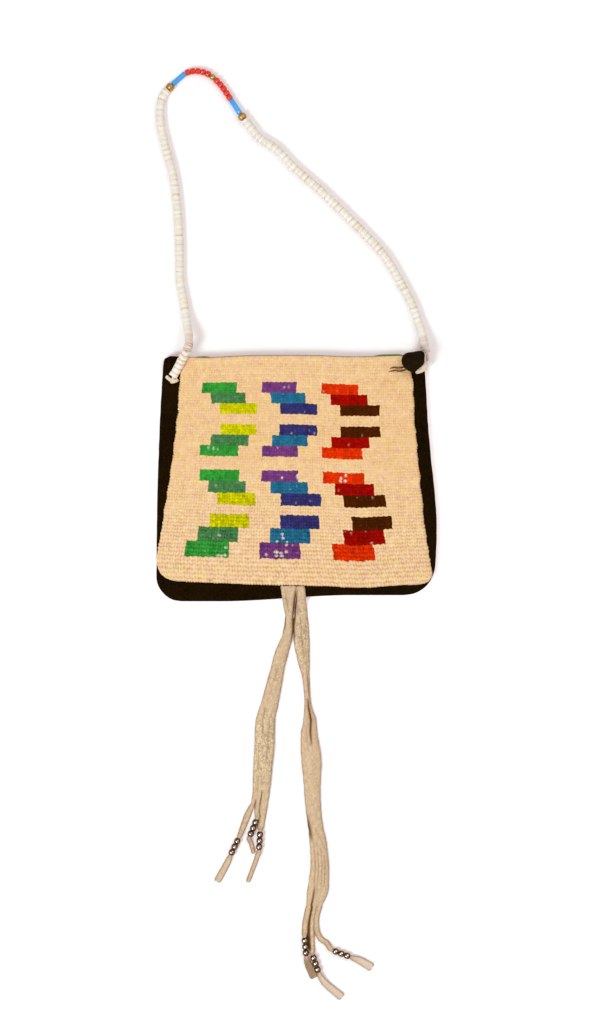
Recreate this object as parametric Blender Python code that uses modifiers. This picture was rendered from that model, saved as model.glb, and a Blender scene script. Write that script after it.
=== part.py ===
"""A flat corn husk handbag with a beaded shoulder strap and two buckskin tails, laid on its back.

The pouch is two dark leather panels, sewn together along the sides and the bottom with their edges
rolled in, and a cloth lining that stands a little out of the mouth. A panel of twined corn husk with
stepped bars of dyed husk is sewn on the front. The strap is a string of shell discs with glass and brass
beads in its middle, tied with hide knots at the two top corners.

Units are metres and +Z is up. The origin is on the pouch's back, where it lies on the surface, +X is to
the right as seen from above, and +Y runs from the pouch to the strap.
"""

import math

import bmesh
import bpy
from mathutils import Vector

MM = 0.001
GAP = 0.3 * MM                       # clearance between pieces that touch

# The pouch
BAG_TOP_Y = 110.5 * MM               # its mouth
BAG_HEIGHT = 217.5 * MM
BAG_TOP_WIDTH = 233.0 * MM
BAG_BOTTOM_WIDTH = 251.2 * MM
BAG_TOP_SHIFT = -2.3 * MM            # the mouth's middle against the bottom's middle
BAG_SIDE_CURVE = 0.8                 # exponent of the sides' spread, 1 for straight sides
BAG_BOTTOM_STEP = 5.5 * MM           # how much higher the bottom edge lies at its right
BAG_BOTTOM_RISE = (-68.0 * MM, 50.0 * MM)      # x over which it climbs
BAG_BOTTOM_LEVEL = 0.6               # part of the climb at which the pouch has its height
BAG_TOP_CORNER = 5.0 * MM
BAG_LEFT_CORNER = 22.0 * MM
BAG_RIGHT_CORNER = 29.0 * MM
LEATHER_THICKNESS = 1.6 * MM
POUCH_ROOM = 6.8 * MM                # between the two leather panels
EDGE_ROLL = 6.0 * MM                 # width over which a panel curves down to the seam
SEAM_DEPTH = 1.2 * MM                # height of the upright strip at the seam

# How the left and the right side swell past their spread: by how much, from which to which part of the
# height, the exponent that moves the swelling down, and the one that draws it together
SIDE_SWELLS = {
    -1: (1.7 * MM, 0.0, 1.0, 1.0, 0.7),
    1: (3.4 * MM, 0.22, 0.92, 1.5, 1.5),
}

# Where the slack mouth hangs below its line: x, half width and depth, and the part of the height over
# which this dies out
MOUTH_DIPS = ((-84.0 * MM, 30.0 * MM, 1.9 * MM), (53.0 * MM, 26.0 * MM, 1.3 * MM))
MOUTH_DIP_DEPTH = 0.35

# The lining
LINING_THICKNESS = 0.5 * MM
LINING_EASE = 1.4 * MM               # how far the lining stays inside the rolled leather edge
LINING_ROLL = 5.0 * MM
LINING_SHOWS = 1.6 * MM              # the strip of lining above the mouth

# The twined husk panel
HUSK_TOP_DROP = 0.4 * MM             # below the leather's top edge
HUSK_BOTTOM_MARGIN = 10.6 * MM       # leather that shows below the panel's middle
HUSK_LEFT_MARGIN = (16.6 * MM, 0.4 * MM)       # leather that shows at the left, above and below
HUSK_RIGHT_MARGIN = (12.2 * MM, 1.5 * MM)
HUSK_LEFT_SPREAD = (0.20, 0.90, 1.5)           # part of the height over which it changes, and exponent
HUSK_RIGHT_SPREAD = (0.64, 0.96, 2.0)
HUSK_BOTTOM_RISE = 3.2 * MM          # bottom corners above the bottom edge's middle
HUSK_BOTTOM_SLOPE = -0.0146
HUSK_BOTTOM_SAG = (1.9 * MM, 58.0 * MM, 26.0 * MM)       # depth, x and half width
HUSK_TOP_CORNER = 4.0 * MM
HUSK_LEFT_CORNER = 18.0 * MM
HUSK_RIGHT_CORNER = 10.0 * MM
HUSK_THICKNESS = 3.0 * MM
HUSK_EDGE = 2.0 * MM                 # width of the panel's bevelled edge
WEAVE_RELIEF = 0.7 * MM              # depth of the groove between two rows
WEAVE_ROWS = 76
WEAVE_COLUMNS = 51
ROW_GROWTH = 0.125                   # part of the height that comes from the taller rows below
ROW_GROWTH_POWER = 6
COLUMN_DRIFT = 0.036                 # how far added warps push the lower columns to the right
EDGE_SCALLOP = 0.3 * MM
PLAIN_PARTS = 4                      # stretches that make up a row without bars

# The stepped bars, counted in rows and columns of the weave
MOTIF_ROWS = (10, 26, 43, 58)
MOTIF_COLUMNS = ((5, 18, 31), (5, 18, 31), (5, 18, 31), (5, 18, 33))
BAR_ROWS = 4
BAR_COLUMNS = 8
BAR_STEP = 2
BARS_IN_MOTIF = 3
DYES = (
    (("green", (0.045, 0.29, 0.045)), ("teal", (0.08, 0.21, 0.07)), ("lime", (0.62, 0.52, 0.01))),
    (("purple", (0.17, 0.05, 0.18)), ("cyan", (0.03, 0.14, 0.24)), ("navy", (0.04, 0.04, 0.14))),
    (("orange", (0.70, 0.04, 0.005)), ("red", (0.32, 0.005, 0.002)), ("brown", (0.07, 0.012, 0.003))),
)

# The strap
DISC_DIAMETER = 8.1 * MM
DISC_PITCH = 2.9 * MM
DISC_GROOVE = 0.86                   # radius between two discs, as a part of the discs' radius
LEFT_DISCS = 92
RIGHT_THONG = 9.5 * MM               # bare thong between the right discs and their knot
LEFT_THONG = 2.6 * MM
THONG_DIAMETER = 2.6 * MM
STRING_DIAMETER = 1.2 * MM
BORE_CLEARANCE = 0.35 * MM
BEAD_GAP = 0.45 * MM                 # between two beads on the string, where it bends
BRASS_DIAMETER = 7.9 * MM
BRASS_LENGTH = 6.0 * MM
MIDDLE_BRASS_DIAMETER = 5.6 * MM
MIDDLE_BRASS_LENGTH = 5.0 * MM
TUBE_DIAMETER = 4.9 * MM
TUBE_LENGTH = 14.9 * MM
RED_DIAMETER = 5.8 * MM
RED_LENGTH = 4.25 * MM
REDS_PER_SIDE = 5
BEAD_SIDES = 8

# Route of the strap's string in millimetres, from the left knot to the right knot
STRAP_ROUTE = (
    (-111.0, 90.6, 14.4), (-108.1, 95.4, 14.9), (-103.6, 103.8, 17.0), (-99.2, 112.1, 18.3),
    (-96.5, 119.2, 17.2), (-96.4, 126.2, 13.6), (-97.5, 134.3, 9.6), (-99.4, 146.3, 5.6),
    (-101.2, 158.0, 4.3), (-104.6, 178.0, 4.2), (-105.1, 205.5, 4.2), (-106.5, 236.0, 4.2),
    (-110.3, 268.5, 4.2), (-119.0, 303.0, 4.2), (-122.6, 322.0, 4.2), (-121.9, 337.2, 4.2),
    (-118.7, 345.9, 4.2), (-113.5, 351.6, 4.2), (-106.3, 359.6, 3.6), (-100.3, 364.1, 3.2),
    (-93.0, 366.3, 3.1), (-88.9, 366.2, 3.1), (-83.2, 365.2, 3.1), (-78.4, 363.1, 3.2),
    (-75.0, 360.4, 3.3), (-70.7, 356.7, 3.1), (-65.2, 349.9, 3.1), (-60.7, 343.0, 3.1),
    (-58.9, 340.3, 3.2), (-50.7, 327.8, 4.0), (-48.7, 324.9, 4.2), (-39.6, 313.2, 4.2),
    (-33.9, 306.2, 4.2), (-18.1, 295.6, 4.2), (-2.1, 279.2, 4.2), (24.6, 255.8, 4.2),
    (64.3, 216.4, 4.2), (81.5, 196.5, 4.2), (94.5, 174.3, 4.2), (104.2, 155.3, 4.2),
    (111.4, 134.3, 5.6), (115.2, 117.0, 10.4), (117.4, 109.5, 11.8), (117.7, 105.4, 11.8),
)

# Hide knots at the strap's ends: millimetres from the string's end, and the hide's half thickness
LEFT_KNOT = (
    ((-6.6, -0.6, -1.9), 1.1), ((-5.9, -1.2, -1.9), 2.1), ((-4.4, -2.4, -1.9), 2.2),
    ((-2.6, -4.2, -1.5), 2.3), ((-0.8, -4.9, -1.0), 3.0), ((1.0, -5.0, -1.0), 3.0),
    ((2.8, -4.9, -1.3), 2.3), ((3.8, -4.8, -1.4), 1.1),
)
RIGHT_KNOT = (
    ((-10.9, -10.6, -0.2), 0.9), ((-9.6, -9.7, -0.1), 1.7), ((-7.2, -8.0, 0.7), 2.5),
    ((-4.0, -6.0, 0.4), 2.9), ((-1.4, -3.8, -0.4), 2.8), ((0.6, -3.6, -1.0), 2.4),
    ((1.8, -4.8, -1.2), 1.7), ((2.4, -6.0, -1.3), 0.9),
)

# The round leather button at the mouth's right corner
BUTTON_RADIUS = 9.9 * MM
BUTTON_HEIGHT = 15.0 * MM
BUTTON_INSET = 10.4 * MM             # its middle inside the pouch's right side
BUTTON_DROP = 5.7 * MM               # its middle below the mouth
BUTTON_LOBES = (((0.72, 0.70, 0.0), 0.14, 9), ((0.1, -1.0, -0.1), 0.16, 14))
THREAD_DIAMETER = 1.0 * MM
THREADS = (
    ((-4.8, -4.7), (-8.5, -5.4), (-12.5, -6.2), (-16.5, -5.7), (-20.8, -6.4)),
    ((-4.1, -6.3), (-7.5, -7.8), (-11.5, -8.9), (-16.0, -8.4), (-21.7, -9.3)),
)

# The buckskin tails: millimetres below the pouch's bottom edge, left edge and right edge
HIDE_THICKNESS = 1.3 * MM
TAIL_LEFT_STEM = (
    (16.6, -9.7, -3.0), (32.8, -12.2, -3.6), (48.1, -18.5, -7.3), (64.3, -23.0, -11.3),
    (80.5, -27.5, -14.1), (96.7, -32.2, -16.9), (109.3, -36.2, -19.4), (132.7, -37.4, -20.3),
    (155.2, -38.6, -22.4), (175.9, -39.3, -24.5), (184.9, -41.0, -25.7),
)
TAIL_RIGHT_STEM = (
    (24.7, -2.5, 10.3), (40.0, -2.0, 11.2), (56.2, 1.3, 11.2), (72.4, 5.6, 11.2),
    (88.6, 7.5, 11.9), (99.4, 7.6, 13.4), (110.2, 6.7, 17.2), (122.8, 4.3, 18.5),
    (147.0, 4.8, 22.0), (166.0, 6.7, 21.3), (184.0, 8.0, 21.3), (202.0, 9.9, 22.9),
    (221.0, 12.2, 26.6), (240.7, 13.0, 28.7), (254.2, 11.5, 28.8), (265.9, 9.6, 28.0),
    (276.7, 8.8, 23.4),
)
TAIL_LEFT_ROOT = (-14.3, -0.5)       # left and right edge where the tail leaves the husk panel
TAIL_RIGHT_ROOT = (0.0, 7.2)
TAIL_LEFT_SLITS = (0.25, 0.54)       # where the cuts run, as parts of the tail's width
TAIL_RIGHT_SLITS = (0.33, 0.66)
TAIL_EDGE_LIFT = 0.1 * MM            # where the tail starts to bend over the pouch's edge
TAIL_DROPS = ((1.0 * MM, -1.4 * MM), (-2.0 * MM, -4.2 * MM), (-6.0 * MM, -7.6 * MM))   # y past it, fall
TAIL_LANDS = (12.0 * MM, 0.4 * MM)   # past the edge, and above its place on the surface

# Strands past the cut: points before the beads, the first and last bead, points after them, and the
# strand's width at its end
TAIL_LEFT_STRANDS = (
    (((-44.1, 195.6),), ((-53.1, 218.2), (-58.2, 228.9)), ((-62.5, 238.9), (-71.5, 255.0)), 6.3),
    (((-35.6, 192.5),), ((-36.7, 201.3), (-41.2, 212.3)), ((-41.0, 220.5), (-39.8, 227.4)), 3.2),
    (((-30.6, 195.6), (-32.3, 206.0)), ((-32.8, 213.0), (-33.5, 223.3)),
     ((-35.4, 233.0), (-38.3, 241.1), (-43.8, 255.6)), 4.2),
)
TAIL_RIGHT_STRANDS = (
    (((8.1, 291.9), (7.2, 302.5)), ((7.5, 308.4), (8.4, 320.1)), ((10.8, 331.0), (16.2, 342.4)), 7.2),
    (((13.4, 291.9), (13.3, 306.0), (13.9, 316.0)), ((15.2, 323.5), (19.2, 335.4)),
     ((25.6, 347.0), (41.0, 360.0)), 7.2),
    (((17.9, 288.5), (18.2, 299.5), (21.4, 307.0), (27.4, 311.5)), ((34.5, 318.3), (46.2, 322.7)),
     ((57.2, 327.0), (67.8, 333.4)), 7.2),
)
STRAND_WIDTH = 4.6 * MM
STRAND_IN_BEAD = 2.5 * MM
STRAND_NECK = 1.2 * MM               # how far a strand stays drawn together past its beads
METAL_BEAD_DIAMETER = 5.8 * MM
METAL_BEAD_LENGTH = 5.2 * MM
METAL_BEAD_BORE = 3.7 * MM
BEADS_PER_STRAND = 3
FLOOR_CLEARANCE = 0.15 * MM          # the strap and the tails above the surface that the pouch lies on

# Worked out from the sizes above
POUCH_THICKNESS = 2 * LEATHER_THICKNESS + POUCH_ROOM
SEAM_Z = POUCH_THICKNESS / 2
HUSK_BASE_Z = POUCH_THICKNESS + GAP
HUSK_TOP_Z = HUSK_BASE_Z + HUSK_THICKNESS
BAG_BOTTOM_Y = BAG_TOP_Y - BAG_HEIGHT
HUSK_TOP_Y = BAG_TOP_Y - HUSK_TOP_DROP
HUSK_BOTTOM_Y = BAG_BOTTOM_Y + HUSK_BOTTOM_MARGIN


def lerp(a, b, t):
    return a + (b - a) * t


def ease(t, start, end):
    """0 before start, 1 past end, and a smooth rise between them."""
    u = min(max((t - start) / (end - start), 0.0), 1.0)
    return u * u * (3 - 2 * u)


def bell(x, middle, half_width):
    """1 at the middle, falling softly to 0 past the half width on both sides."""
    return math.exp(-((x - middle) / half_width) ** 2)


def quarter(e, width):
    """Height, as a part of 1, of a quarter ellipse at the distance e from its edge."""
    u = 1 - min(e / width, 1.0)
    return math.sqrt(1 - u * u)


def clear_scene():
    for item in list(bpy.data.objects):
        bpy.data.objects.remove(item, do_unlink=True)


def make_collection(name):
    collection = bpy.data.collections.new(name)
    bpy.context.scene.collection.children.link(collection)
    return collection


def make_material(name, color, roughness, metallic=0.0):
    material = bpy.data.materials.new(name)
    material.use_nodes = True
    shader = material.node_tree.nodes["Principled BSDF"]
    shader.inputs["Base Color"].default_value = (*color, 1.0)
    shader.inputs["Roughness"].default_value = roughness
    shader.inputs["Metallic"].default_value = metallic
    material.diffuse_color = (*color, 1.0)
    return material


def add_object(name, data, materials):
    """Puts new mesh or curve data in the handbag's collection, under its root."""
    for material in materials:
        if material.name not in data.materials:
            data.materials.append(material)
    item = bpy.data.objects.new(name, data)
    HANDBAG.objects.link(item)
    item.parent = ROOT
    return item


def mesh_from(name, bm, smooth_angle=math.radians(40)):
    mesh = bpy.data.meshes.new(name)
    bm.to_mesh(mesh)
    bm.free()
    mesh.shade_smooth()
    mesh.set_sharp_from_angle(angle=smooth_angle)
    return mesh


def grid_faces(bm, rows, flip=False):
    """Quads between rows of as many vertices each."""
    for lower, upper in zip(rows, rows[1:]):
        for i in range(len(lower) - 1):
            corners = [lower[i], lower[i + 1], upper[i + 1], upper[i]]
            if flip:
                corners.reverse()
            if len(set(corners)) > 2:
                bm.faces.new(corners)


def add_solidify(item, thickness, offset):
    solidify = item.modifiers.new("thickness", "SOLIDIFY")
    solidify.thickness = thickness
    solidify.offset = offset
    solidify.use_even_offset = True
    return solidify


class Path:
    """A smooth curve through the points of a route, measured along its length."""

    SAMPLES = 14

    def __init__(self, route):
        knots = [Vector(point) for point in route]
        self.points = [knots[0]]
        for i in range(len(knots) - 1):
            self.points += self.span(knots, i)
        self.lengths = [0.0]
        for a, b in zip(self.points, self.points[1:]):
            self.lengths.append(self.lengths[-1] + (b - a).length)
        self.length = self.lengths[-1]

    def span(self, knots, i):
        a = knots[i]
        b = knots[i + 1]
        before = knots[max(i - 1, 0)]
        after = knots[min(i + 2, len(knots) - 1)]
        chord = (b - a).length
        leave = (b - before) * (chord / (chord + (a - before).length))
        arrive = (after - a) * (chord / (chord + (after - b).length))
        found = []
        for k in range(1, self.SAMPLES + 1):
            t = k / self.SAMPLES
            found.append(a * (2 * t ** 3 - 3 * t ** 2 + 1) + leave * (t ** 3 - 2 * t ** 2 + t)
                         + b * (3 * t ** 2 - 2 * t ** 3) + arrive * (t ** 3 - t ** 2))
        return found

    def at(self, distance):
        distance = min(max(distance, 0.0), self.length)
        for i in range(len(self.lengths) - 1):
            if self.lengths[i + 1] >= distance:
                break
        part = self.lengths[i + 1] - self.lengths[i]
        return self.points[i].lerp(self.points[i + 1], (distance - self.lengths[i]) / part)


def tube(name, points, diameter, material, radii=None):
    """A round cord with closed ends through the points, whose radii may vary."""
    curve = bpy.data.curves.new(name, "CURVE")
    curve.dimensions = "3D"
    curve.bevel_depth = diameter / 2
    curve.bevel_resolution = 2
    curve.use_fill_caps = True
    spline = curve.splines.new("POLY")
    spline.points.add(len(points) - 1)
    for i, point in enumerate(points):
        spline.points[i].co = (*point, 1.0)
        spline.points[i].radius = radii[i] if radii else 1.0
    spline.use_smooth = True
    return add_object(name, curve, [material])


# Pouch outline

def bag_part(y):
    """How far down the pouch y is, 0 at the mouth and 1 at the bottom."""
    return (BAG_TOP_Y - y) / BAG_HEIGHT


def bag_side_x(side, y):
    part = min(max(bag_part(y), 0.0), 1.0)
    half = lerp(BAG_TOP_WIDTH, BAG_BOTTOM_WIDTH, part ** BAG_SIDE_CURVE) / 2
    amount, start, end, lower, narrow = SIDE_SWELLS[side]
    along = min(max((part - start) / (end - start), 0.0), 1.0) ** lower
    half += amount * max(math.sin(math.pi * along), 0.0) ** narrow
    return BAG_TOP_SHIFT * (1 - part) + side * half


def bag_bottom_y(x):
    return BAG_BOTTOM_Y + BAG_BOTTOM_STEP * (ease(x, *BAG_BOTTOM_RISE) - BAG_BOTTOM_LEVEL)


def mouth_dip(x, y):
    """How far the slack mouth hangs down at a place."""
    fade = 1 - min(max(bag_part(y) / MOUTH_DIP_DEPTH, 0.0), 1.0)
    return fade ** 2 * sum(depth * bell(x, at, half_width) for at, half_width, depth in MOUTH_DIPS)


def corner_inset(distance, radius):
    """How far a round corner pulls the side in, at a distance from the edge across it."""
    if distance >= radius:
        return 0.0
    return radius - math.sqrt(radius ** 2 - (radius - distance) ** 2)


def bag_edge_distance(x, y, inset):
    """Distance from a point to the pouch's side and bottom outline, moved in by inset."""
    down = y - bag_bottom_y(x) - inset
    found = down
    for side, corner in ((-1, BAG_LEFT_CORNER), (1, BAG_RIGHT_CORNER)):
        radius = corner - inset
        across = side * (bag_side_x(side, y) - x) - inset
        if across < radius and down < radius:
            found = min(found, radius - math.hypot(radius - across, radius - down))
        else:
            found = min(found, across)
    return max(found, 0.0)


def stations(low_steps, high_steps, length, even):
    """Distances from 0 to length: given steps at both ends and even ones between them."""
    low = list(low_steps)
    high = [length - step for step in reversed(high_steps)]
    between = [lerp(low[-1], high[0], k / (even + 1)) for k in range(1, even + 1)]
    return low + between + high


def pouch_rows(inset, top_y, side_steps, bottom_steps, top_steps, heights):
    """Rows of places over the pouch, from its bottom up. heights(e) gives z at e from the edge."""
    rows = []
    height = top_y - BAG_BOTTOM_Y - inset
    for up in stations(bottom_steps, top_steps, height, 3):
        middle_y = top_y - height + up
        left = bag_side_x(-1, middle_y) + inset
        right = bag_side_x(1, middle_y) - inset
        left += corner_inset(up, BAG_LEFT_CORNER - inset) + corner_inset(height - up, BAG_TOP_CORNER)
        right -= corner_inset(up, BAG_RIGHT_CORNER - inset) + corner_inset(height - up, BAG_TOP_CORNER)
        row = []
        for across in stations(side_steps, side_steps, right - left, 3):
            x = left + across
            y = middle_y + (1 - up / height) * (bag_bottom_y(x) - BAG_BOTTOM_Y)
            e = min(bag_edge_distance(x, y, inset), across, right - left - across)
            row.append((x, y - mouth_dip(x, y), heights(e)))
        rows.append(row)
    return rows


def leather_panel(name, side, material):
    """One leather panel: flat, with its edge rolled to the seam. side is 1 in front, -1 at the back."""
    reach = SEAM_Z - GAP / 2 - SEAM_DEPTH
    steps = (0.0, 1.2 * MM, 3.4 * MM, EDGE_ROLL)
    bottom_steps = steps + (12 * MM, BAG_LEFT_CORNER, BAG_RIGHT_CORNER)

    def height(e):
        return SEAM_Z + side * (GAP / 2 + SEAM_DEPTH + reach * quarter(e, EDGE_ROLL))

    rows = pouch_rows(0.0, BAG_TOP_Y, steps, bottom_steps, (0.0, 1.5 * MM, BAG_TOP_CORNER), height)
    seam = SEAM_Z + side * GAP / 2
    bm = bmesh.new()
    grid = []
    for row in rows:
        places = [(row[0][0], row[0][1], seam)] + row + [(row[-1][0], row[-1][1], seam)]
        grid.append([bm.verts.new(place) for place in places])
    below = [bm.verts.new((v.co.x, v.co.y, seam)) for v in grid[0]]
    grid.insert(0, below)
    grid_faces(bm, grid, flip=side < 0)
    bmesh.ops.remove_doubles(bm, verts=bm.verts, dist=0.001 * MM)
    item = add_object(name, mesh_from(name, bm), [material])
    add_solidify(item, LEATHER_THICKNESS, -1)


def make_lining(material):
    """The cloth pouch inside the leather, closed at the sides and below, open at the mouth."""
    inset = LEATHER_THICKNESS + LINING_EASE
    reach = SEAM_Z - LEATHER_THICKNESS - GAP
    steps = (0.0, 1.5 * MM, LINING_ROLL)
    bottom_steps = steps + (12 * MM, BAG_LEFT_CORNER - inset)
    bm = bmesh.new()
    for side in (1, -1):
        rows = pouch_rows(inset, BAG_TOP_Y + LINING_SHOWS, steps, bottom_steps, (0.0,),
                          lambda e, side=side: SEAM_Z + side * reach * quarter(e, LINING_ROLL))
        grid_faces(bm, [[bm.verts.new(place) for place in row] for row in rows], flip=side < 0)
    bmesh.ops.remove_doubles(bm, verts=bm.verts, dist=0.001 * MM)
    item = add_object("lining", mesh_from("lining", bm), [material])
    add_solidify(item, LINING_THICKNESS, -1)


# Husk panel

def husk_part(row):
    """How far down the panel a row of the weave starts, 0 at the top and 1 at the bottom."""
    part = row / WEAVE_ROWS
    return (1 - ROW_GROWTH) * part + ROW_GROWTH * part ** ROW_GROWTH_POWER


def husk_sides(part):
    """The panel's left and right edge at a part of its height."""
    y = lerp(HUSK_TOP_Y, HUSK_BOTTOM_Y, part)
    margins = []
    for margin, (start, end, power) in ((HUSK_LEFT_MARGIN, HUSK_LEFT_SPREAD),
                                        (HUSK_RIGHT_MARGIN, HUSK_RIGHT_SPREAD)):
        along = min(max((part - start) / (end - start), 0.0), 1.0)
        margins.append(lerp(*margin, along ** power))
    return bag_side_x(-1, y) + margins[0], bag_side_x(1, y) - margins[1]


def husk_y(x, part):
    half = BAG_BOTTOM_WIDTH / 2
    depth, at, half_width = HUSK_BOTTOM_SAG
    bottom = HUSK_BOTTOM_Y + HUSK_BOTTOM_RISE * (x / half) ** 2 + HUSK_BOTTOM_SLOPE * x
    y = lerp(HUSK_TOP_Y, bottom - depth * bell(x, at, half_width), part)
    return y - mouth_dip(x, y)


def husk_place(row, column):
    """The place of a corner of the weave, by its row and its column."""
    part = husk_part(row)
    left, right = husk_sides(part)
    u = column / WEAVE_COLUMNS
    u += COLUMN_DRIFT * part ** 4 * math.sin(math.pi * u ** 1.6)
    x = lerp(left, right, u)
    return x, husk_y(x, part)


def husk_edge_x(row, side):
    """The outline's x at a row, with the panel's round corners."""
    part = husk_part(row)
    height = HUSK_TOP_Y - HUSK_BOTTOM_Y
    radius = HUSK_LEFT_CORNER if side < 0 else HUSK_RIGHT_CORNER
    pull = corner_inset((1 - part) * height, radius) + corner_inset(part * height, HUSK_TOP_CORNER)
    left, right = husk_sides(part)
    return left + pull if side < 0 else right - pull


def dye_at(row, column):
    """The dye of the bar that covers a stitch, as motif column and bar, or None."""
    for m, first_row in enumerate(MOTIF_ROWS):
        bar = (row - first_row) // BAR_ROWS
        if not 0 <= bar < BARS_IN_MOTIF:
            continue
        step = bar if m % 2 == 0 else BARS_IN_MOTIF - 1 - bar
        for k, first_column in enumerate(MOTIF_COLUMNS[m]):
            start = first_column + step * BAR_STEP
            if start <= column < start + BAR_COLUMNS:
                return k, step
    return None


def row_columns(row):
    """The columns at which a row's bars start and end, or a few even ones where it has no bar."""
    if not 0 <= row < WEAVE_ROWS:
        return set()
    found = {c for c in range(1, WEAVE_COLUMNS) if dye_at(row, c) != dye_at(row, c - 1)}
    return found or {k * WEAVE_COLUMNS // PLAIN_PARTS for k in range(1, PLAIN_PARTS)}


def husk_line(bm, line):
    """One crest or groove, two of which make a row, as its columns' vertices from left to right."""
    row = line / 2
    part = husk_part(row)
    crest = line % 2 == 1
    z = HUSK_TOP_Z if crest else HUSK_TOP_Z - WEAVE_RELIEF
    if line in (0, 2 * WEAVE_ROWS):
        z = HUSK_BASE_Z
    pull = 0.0 if crest else EDGE_SCALLOP
    left = husk_edge_x(row, -1)
    right = husk_edge_x(row, 1)
    found = {
        -1: (left + pull, husk_y(left, part), HUSK_BASE_Z),
        0: (left + HUSK_EDGE, husk_y(left + HUSK_EDGE, part), z),
        WEAVE_COLUMNS: (right - HUSK_EDGE, husk_y(right - HUSK_EDGE, part), z),
        WEAVE_COLUMNS + 1: (right - pull, husk_y(right, part), HUSK_BASE_Z),
    }
    for column in row_columns((line - 1) // 2) | row_columns(line // 2):
        found[column] = (*husk_place(row, column), z)
    return {column: bm.verts.new(found[column]) for column in sorted(found)}


def make_husk_panel(husk, dyes):
    """The woven panel: a ridge for each row of twining, and the bars as dyed stretches of it."""
    bm = bmesh.new()
    lines = [husk_line(bm, line) for line in range(2 * WEAVE_ROWS + 1)]
    for i, (upper, lower) in enumerate(zip(lines, lines[1:])):
        shared = sorted(set(upper) & set(lower))
        for start, end in zip(shared, shared[1:]):
            corners = [lower[c] for c in lower if start <= c <= end]
            corners += [upper[c] for c in reversed(upper) if start <= c <= end]
            face = bm.faces.new(corners)
            dye = dye_at(i // 2, start)
            if dye:
                face.material_index = 1 + dye[0] * BARS_IN_MOTIF + dye[1]
    first = list(lines[0].values())
    last = list(lines[-1].values())
    between = [list(line.values()) for line in lines[1:-1]]
    rim = first + [line[-1] for line in between] + last[::-1] + [line[0] for line in between[::-1]]
    bm.faces.new(rim)
    add_object("husk_panel", mesh_from("husk_panel", bm, math.radians(20)), [husk, *dyes])


# Strap

def disc_strand(name, path, thong, discs, material):
    """Discs on their string as one piece, past a bare thong of given length."""
    points = []
    radii = []
    for k in range(4):
        points.append(path.at(thong * k / 3))
        radii.append(THONG_DIAMETER / DISC_DIAMETER)
    for i in range(discs):
        first = thong + i * DISC_PITCH
        points += [path.at(first + 0.04 * DISC_PITCH), path.at(first + DISC_PITCH / 2)]
        radii += [DISC_GROOVE, 1.0]
    points.append(path.at(thong + discs * DISC_PITCH))
    radii.append(DISC_GROOVE)
    return tube(name, points, DISC_DIAMETER, material, radii)


def turned_bead(name, axis, length, diameter, bore, shoulder, material):
    """A bead with a bore along the line between two points, turned from a four-sided profile."""
    half = length / 2
    profile = ((bore / 2, half), (diameter / 2, half * shoulder),
               (diameter / 2, -half * shoulder), (bore / 2, -half))
    mesh = bpy.data.meshes.get(name.rsplit("_", 1)[0])
    if mesh is None:
        bm = bmesh.new()
        verts = [bm.verts.new((r, 0.0, z)) for r, z in profile]
        for i in range(4):
            bm.edges.new((verts[i], verts[(i + 1) % 4]))
        mesh = bpy.data.meshes.new(name.rsplit("_", 1)[0])
        bm.to_mesh(mesh)
        bm.free()
    item = add_object(name, mesh, [material])
    screw = item.modifiers.new("turn", "SCREW")
    screw.steps = BEAD_SIDES
    screw.render_steps = BEAD_SIDES
    screw.use_merge_vertices = True
    screw.merge_threshold = 0.01 * MM
    low, high = axis
    item.location = (low + high) / 2
    item.rotation_mode = "QUATERNION"
    item.rotation_quaternion = (high - low).to_track_quat("Z", "Y")


def middle_beads():
    """The small beads of the strap's middle in order: name, length, diameter and shoulder."""
    reds = [("red_bead", RED_LENGTH, RED_DIAMETER, 0.5)] * REDS_PER_SIDE
    brass = ("brass_bead", BRASS_LENGTH, BRASS_DIAMETER, 0.6)
    glass = ("tube_bead", TUBE_LENGTH, TUBE_DIAMETER, 0.93)
    centre = ("middle_brass_bead", MIDDLE_BRASS_LENGTH, MIDDLE_BRASS_DIAMETER, 0.5)
    return [brass, glass, *reds, centre, *reds, glass, brass]


def make_strap(materials):
    path = Path([Vector(point) * MM for point in STRAP_ROUTE])
    disc_strand("strand_left", path, LEFT_THONG, LEFT_DISCS, materials["shell"])
    place = LEFT_THONG + LEFT_DISCS * DISC_PITCH
    string = [path.at(place + GAP)]
    low = path.at(place + BEAD_GAP / 2)
    counts = {}
    for kind, length, diameter, shoulder in middle_beads():
        place += BEAD_GAP + length
        high = path.at(place + BEAD_GAP / 2)
        counts[kind] = counts.get(kind, 0) + 1
        turned_bead(f"{kind}_{counts[kind]}", (low, high), length, diameter,
                    STRING_DIAMETER + 2 * BORE_CLEARANCE, shoulder, materials[kind])
        string.append(high)
        low = high
    place += BEAD_GAP
    string[-1] = path.at(place - GAP)
    tube("strap_string", string, STRING_DIAMETER, materials["string"])
    discs = int((path.length - RIGHT_THONG - place) / DISC_PITCH)
    thong = path.length - place - discs * DISC_PITCH
    back = Path([path.at(path.length * (1 - k / 400)) for k in range(401)])
    disc_strand("strand_right", back, thong, discs, materials["shell"])


def make_knot(name, at, shape, material):
    """A lump of knotted hide, as a thick strip whose thickness swells and ends round."""
    points = [at + Vector(offset) * MM for offset, _ in shape]
    radii = [size for _, size in shape]
    tube(name, points, 2 * MM, material, radii)


# Button

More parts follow.
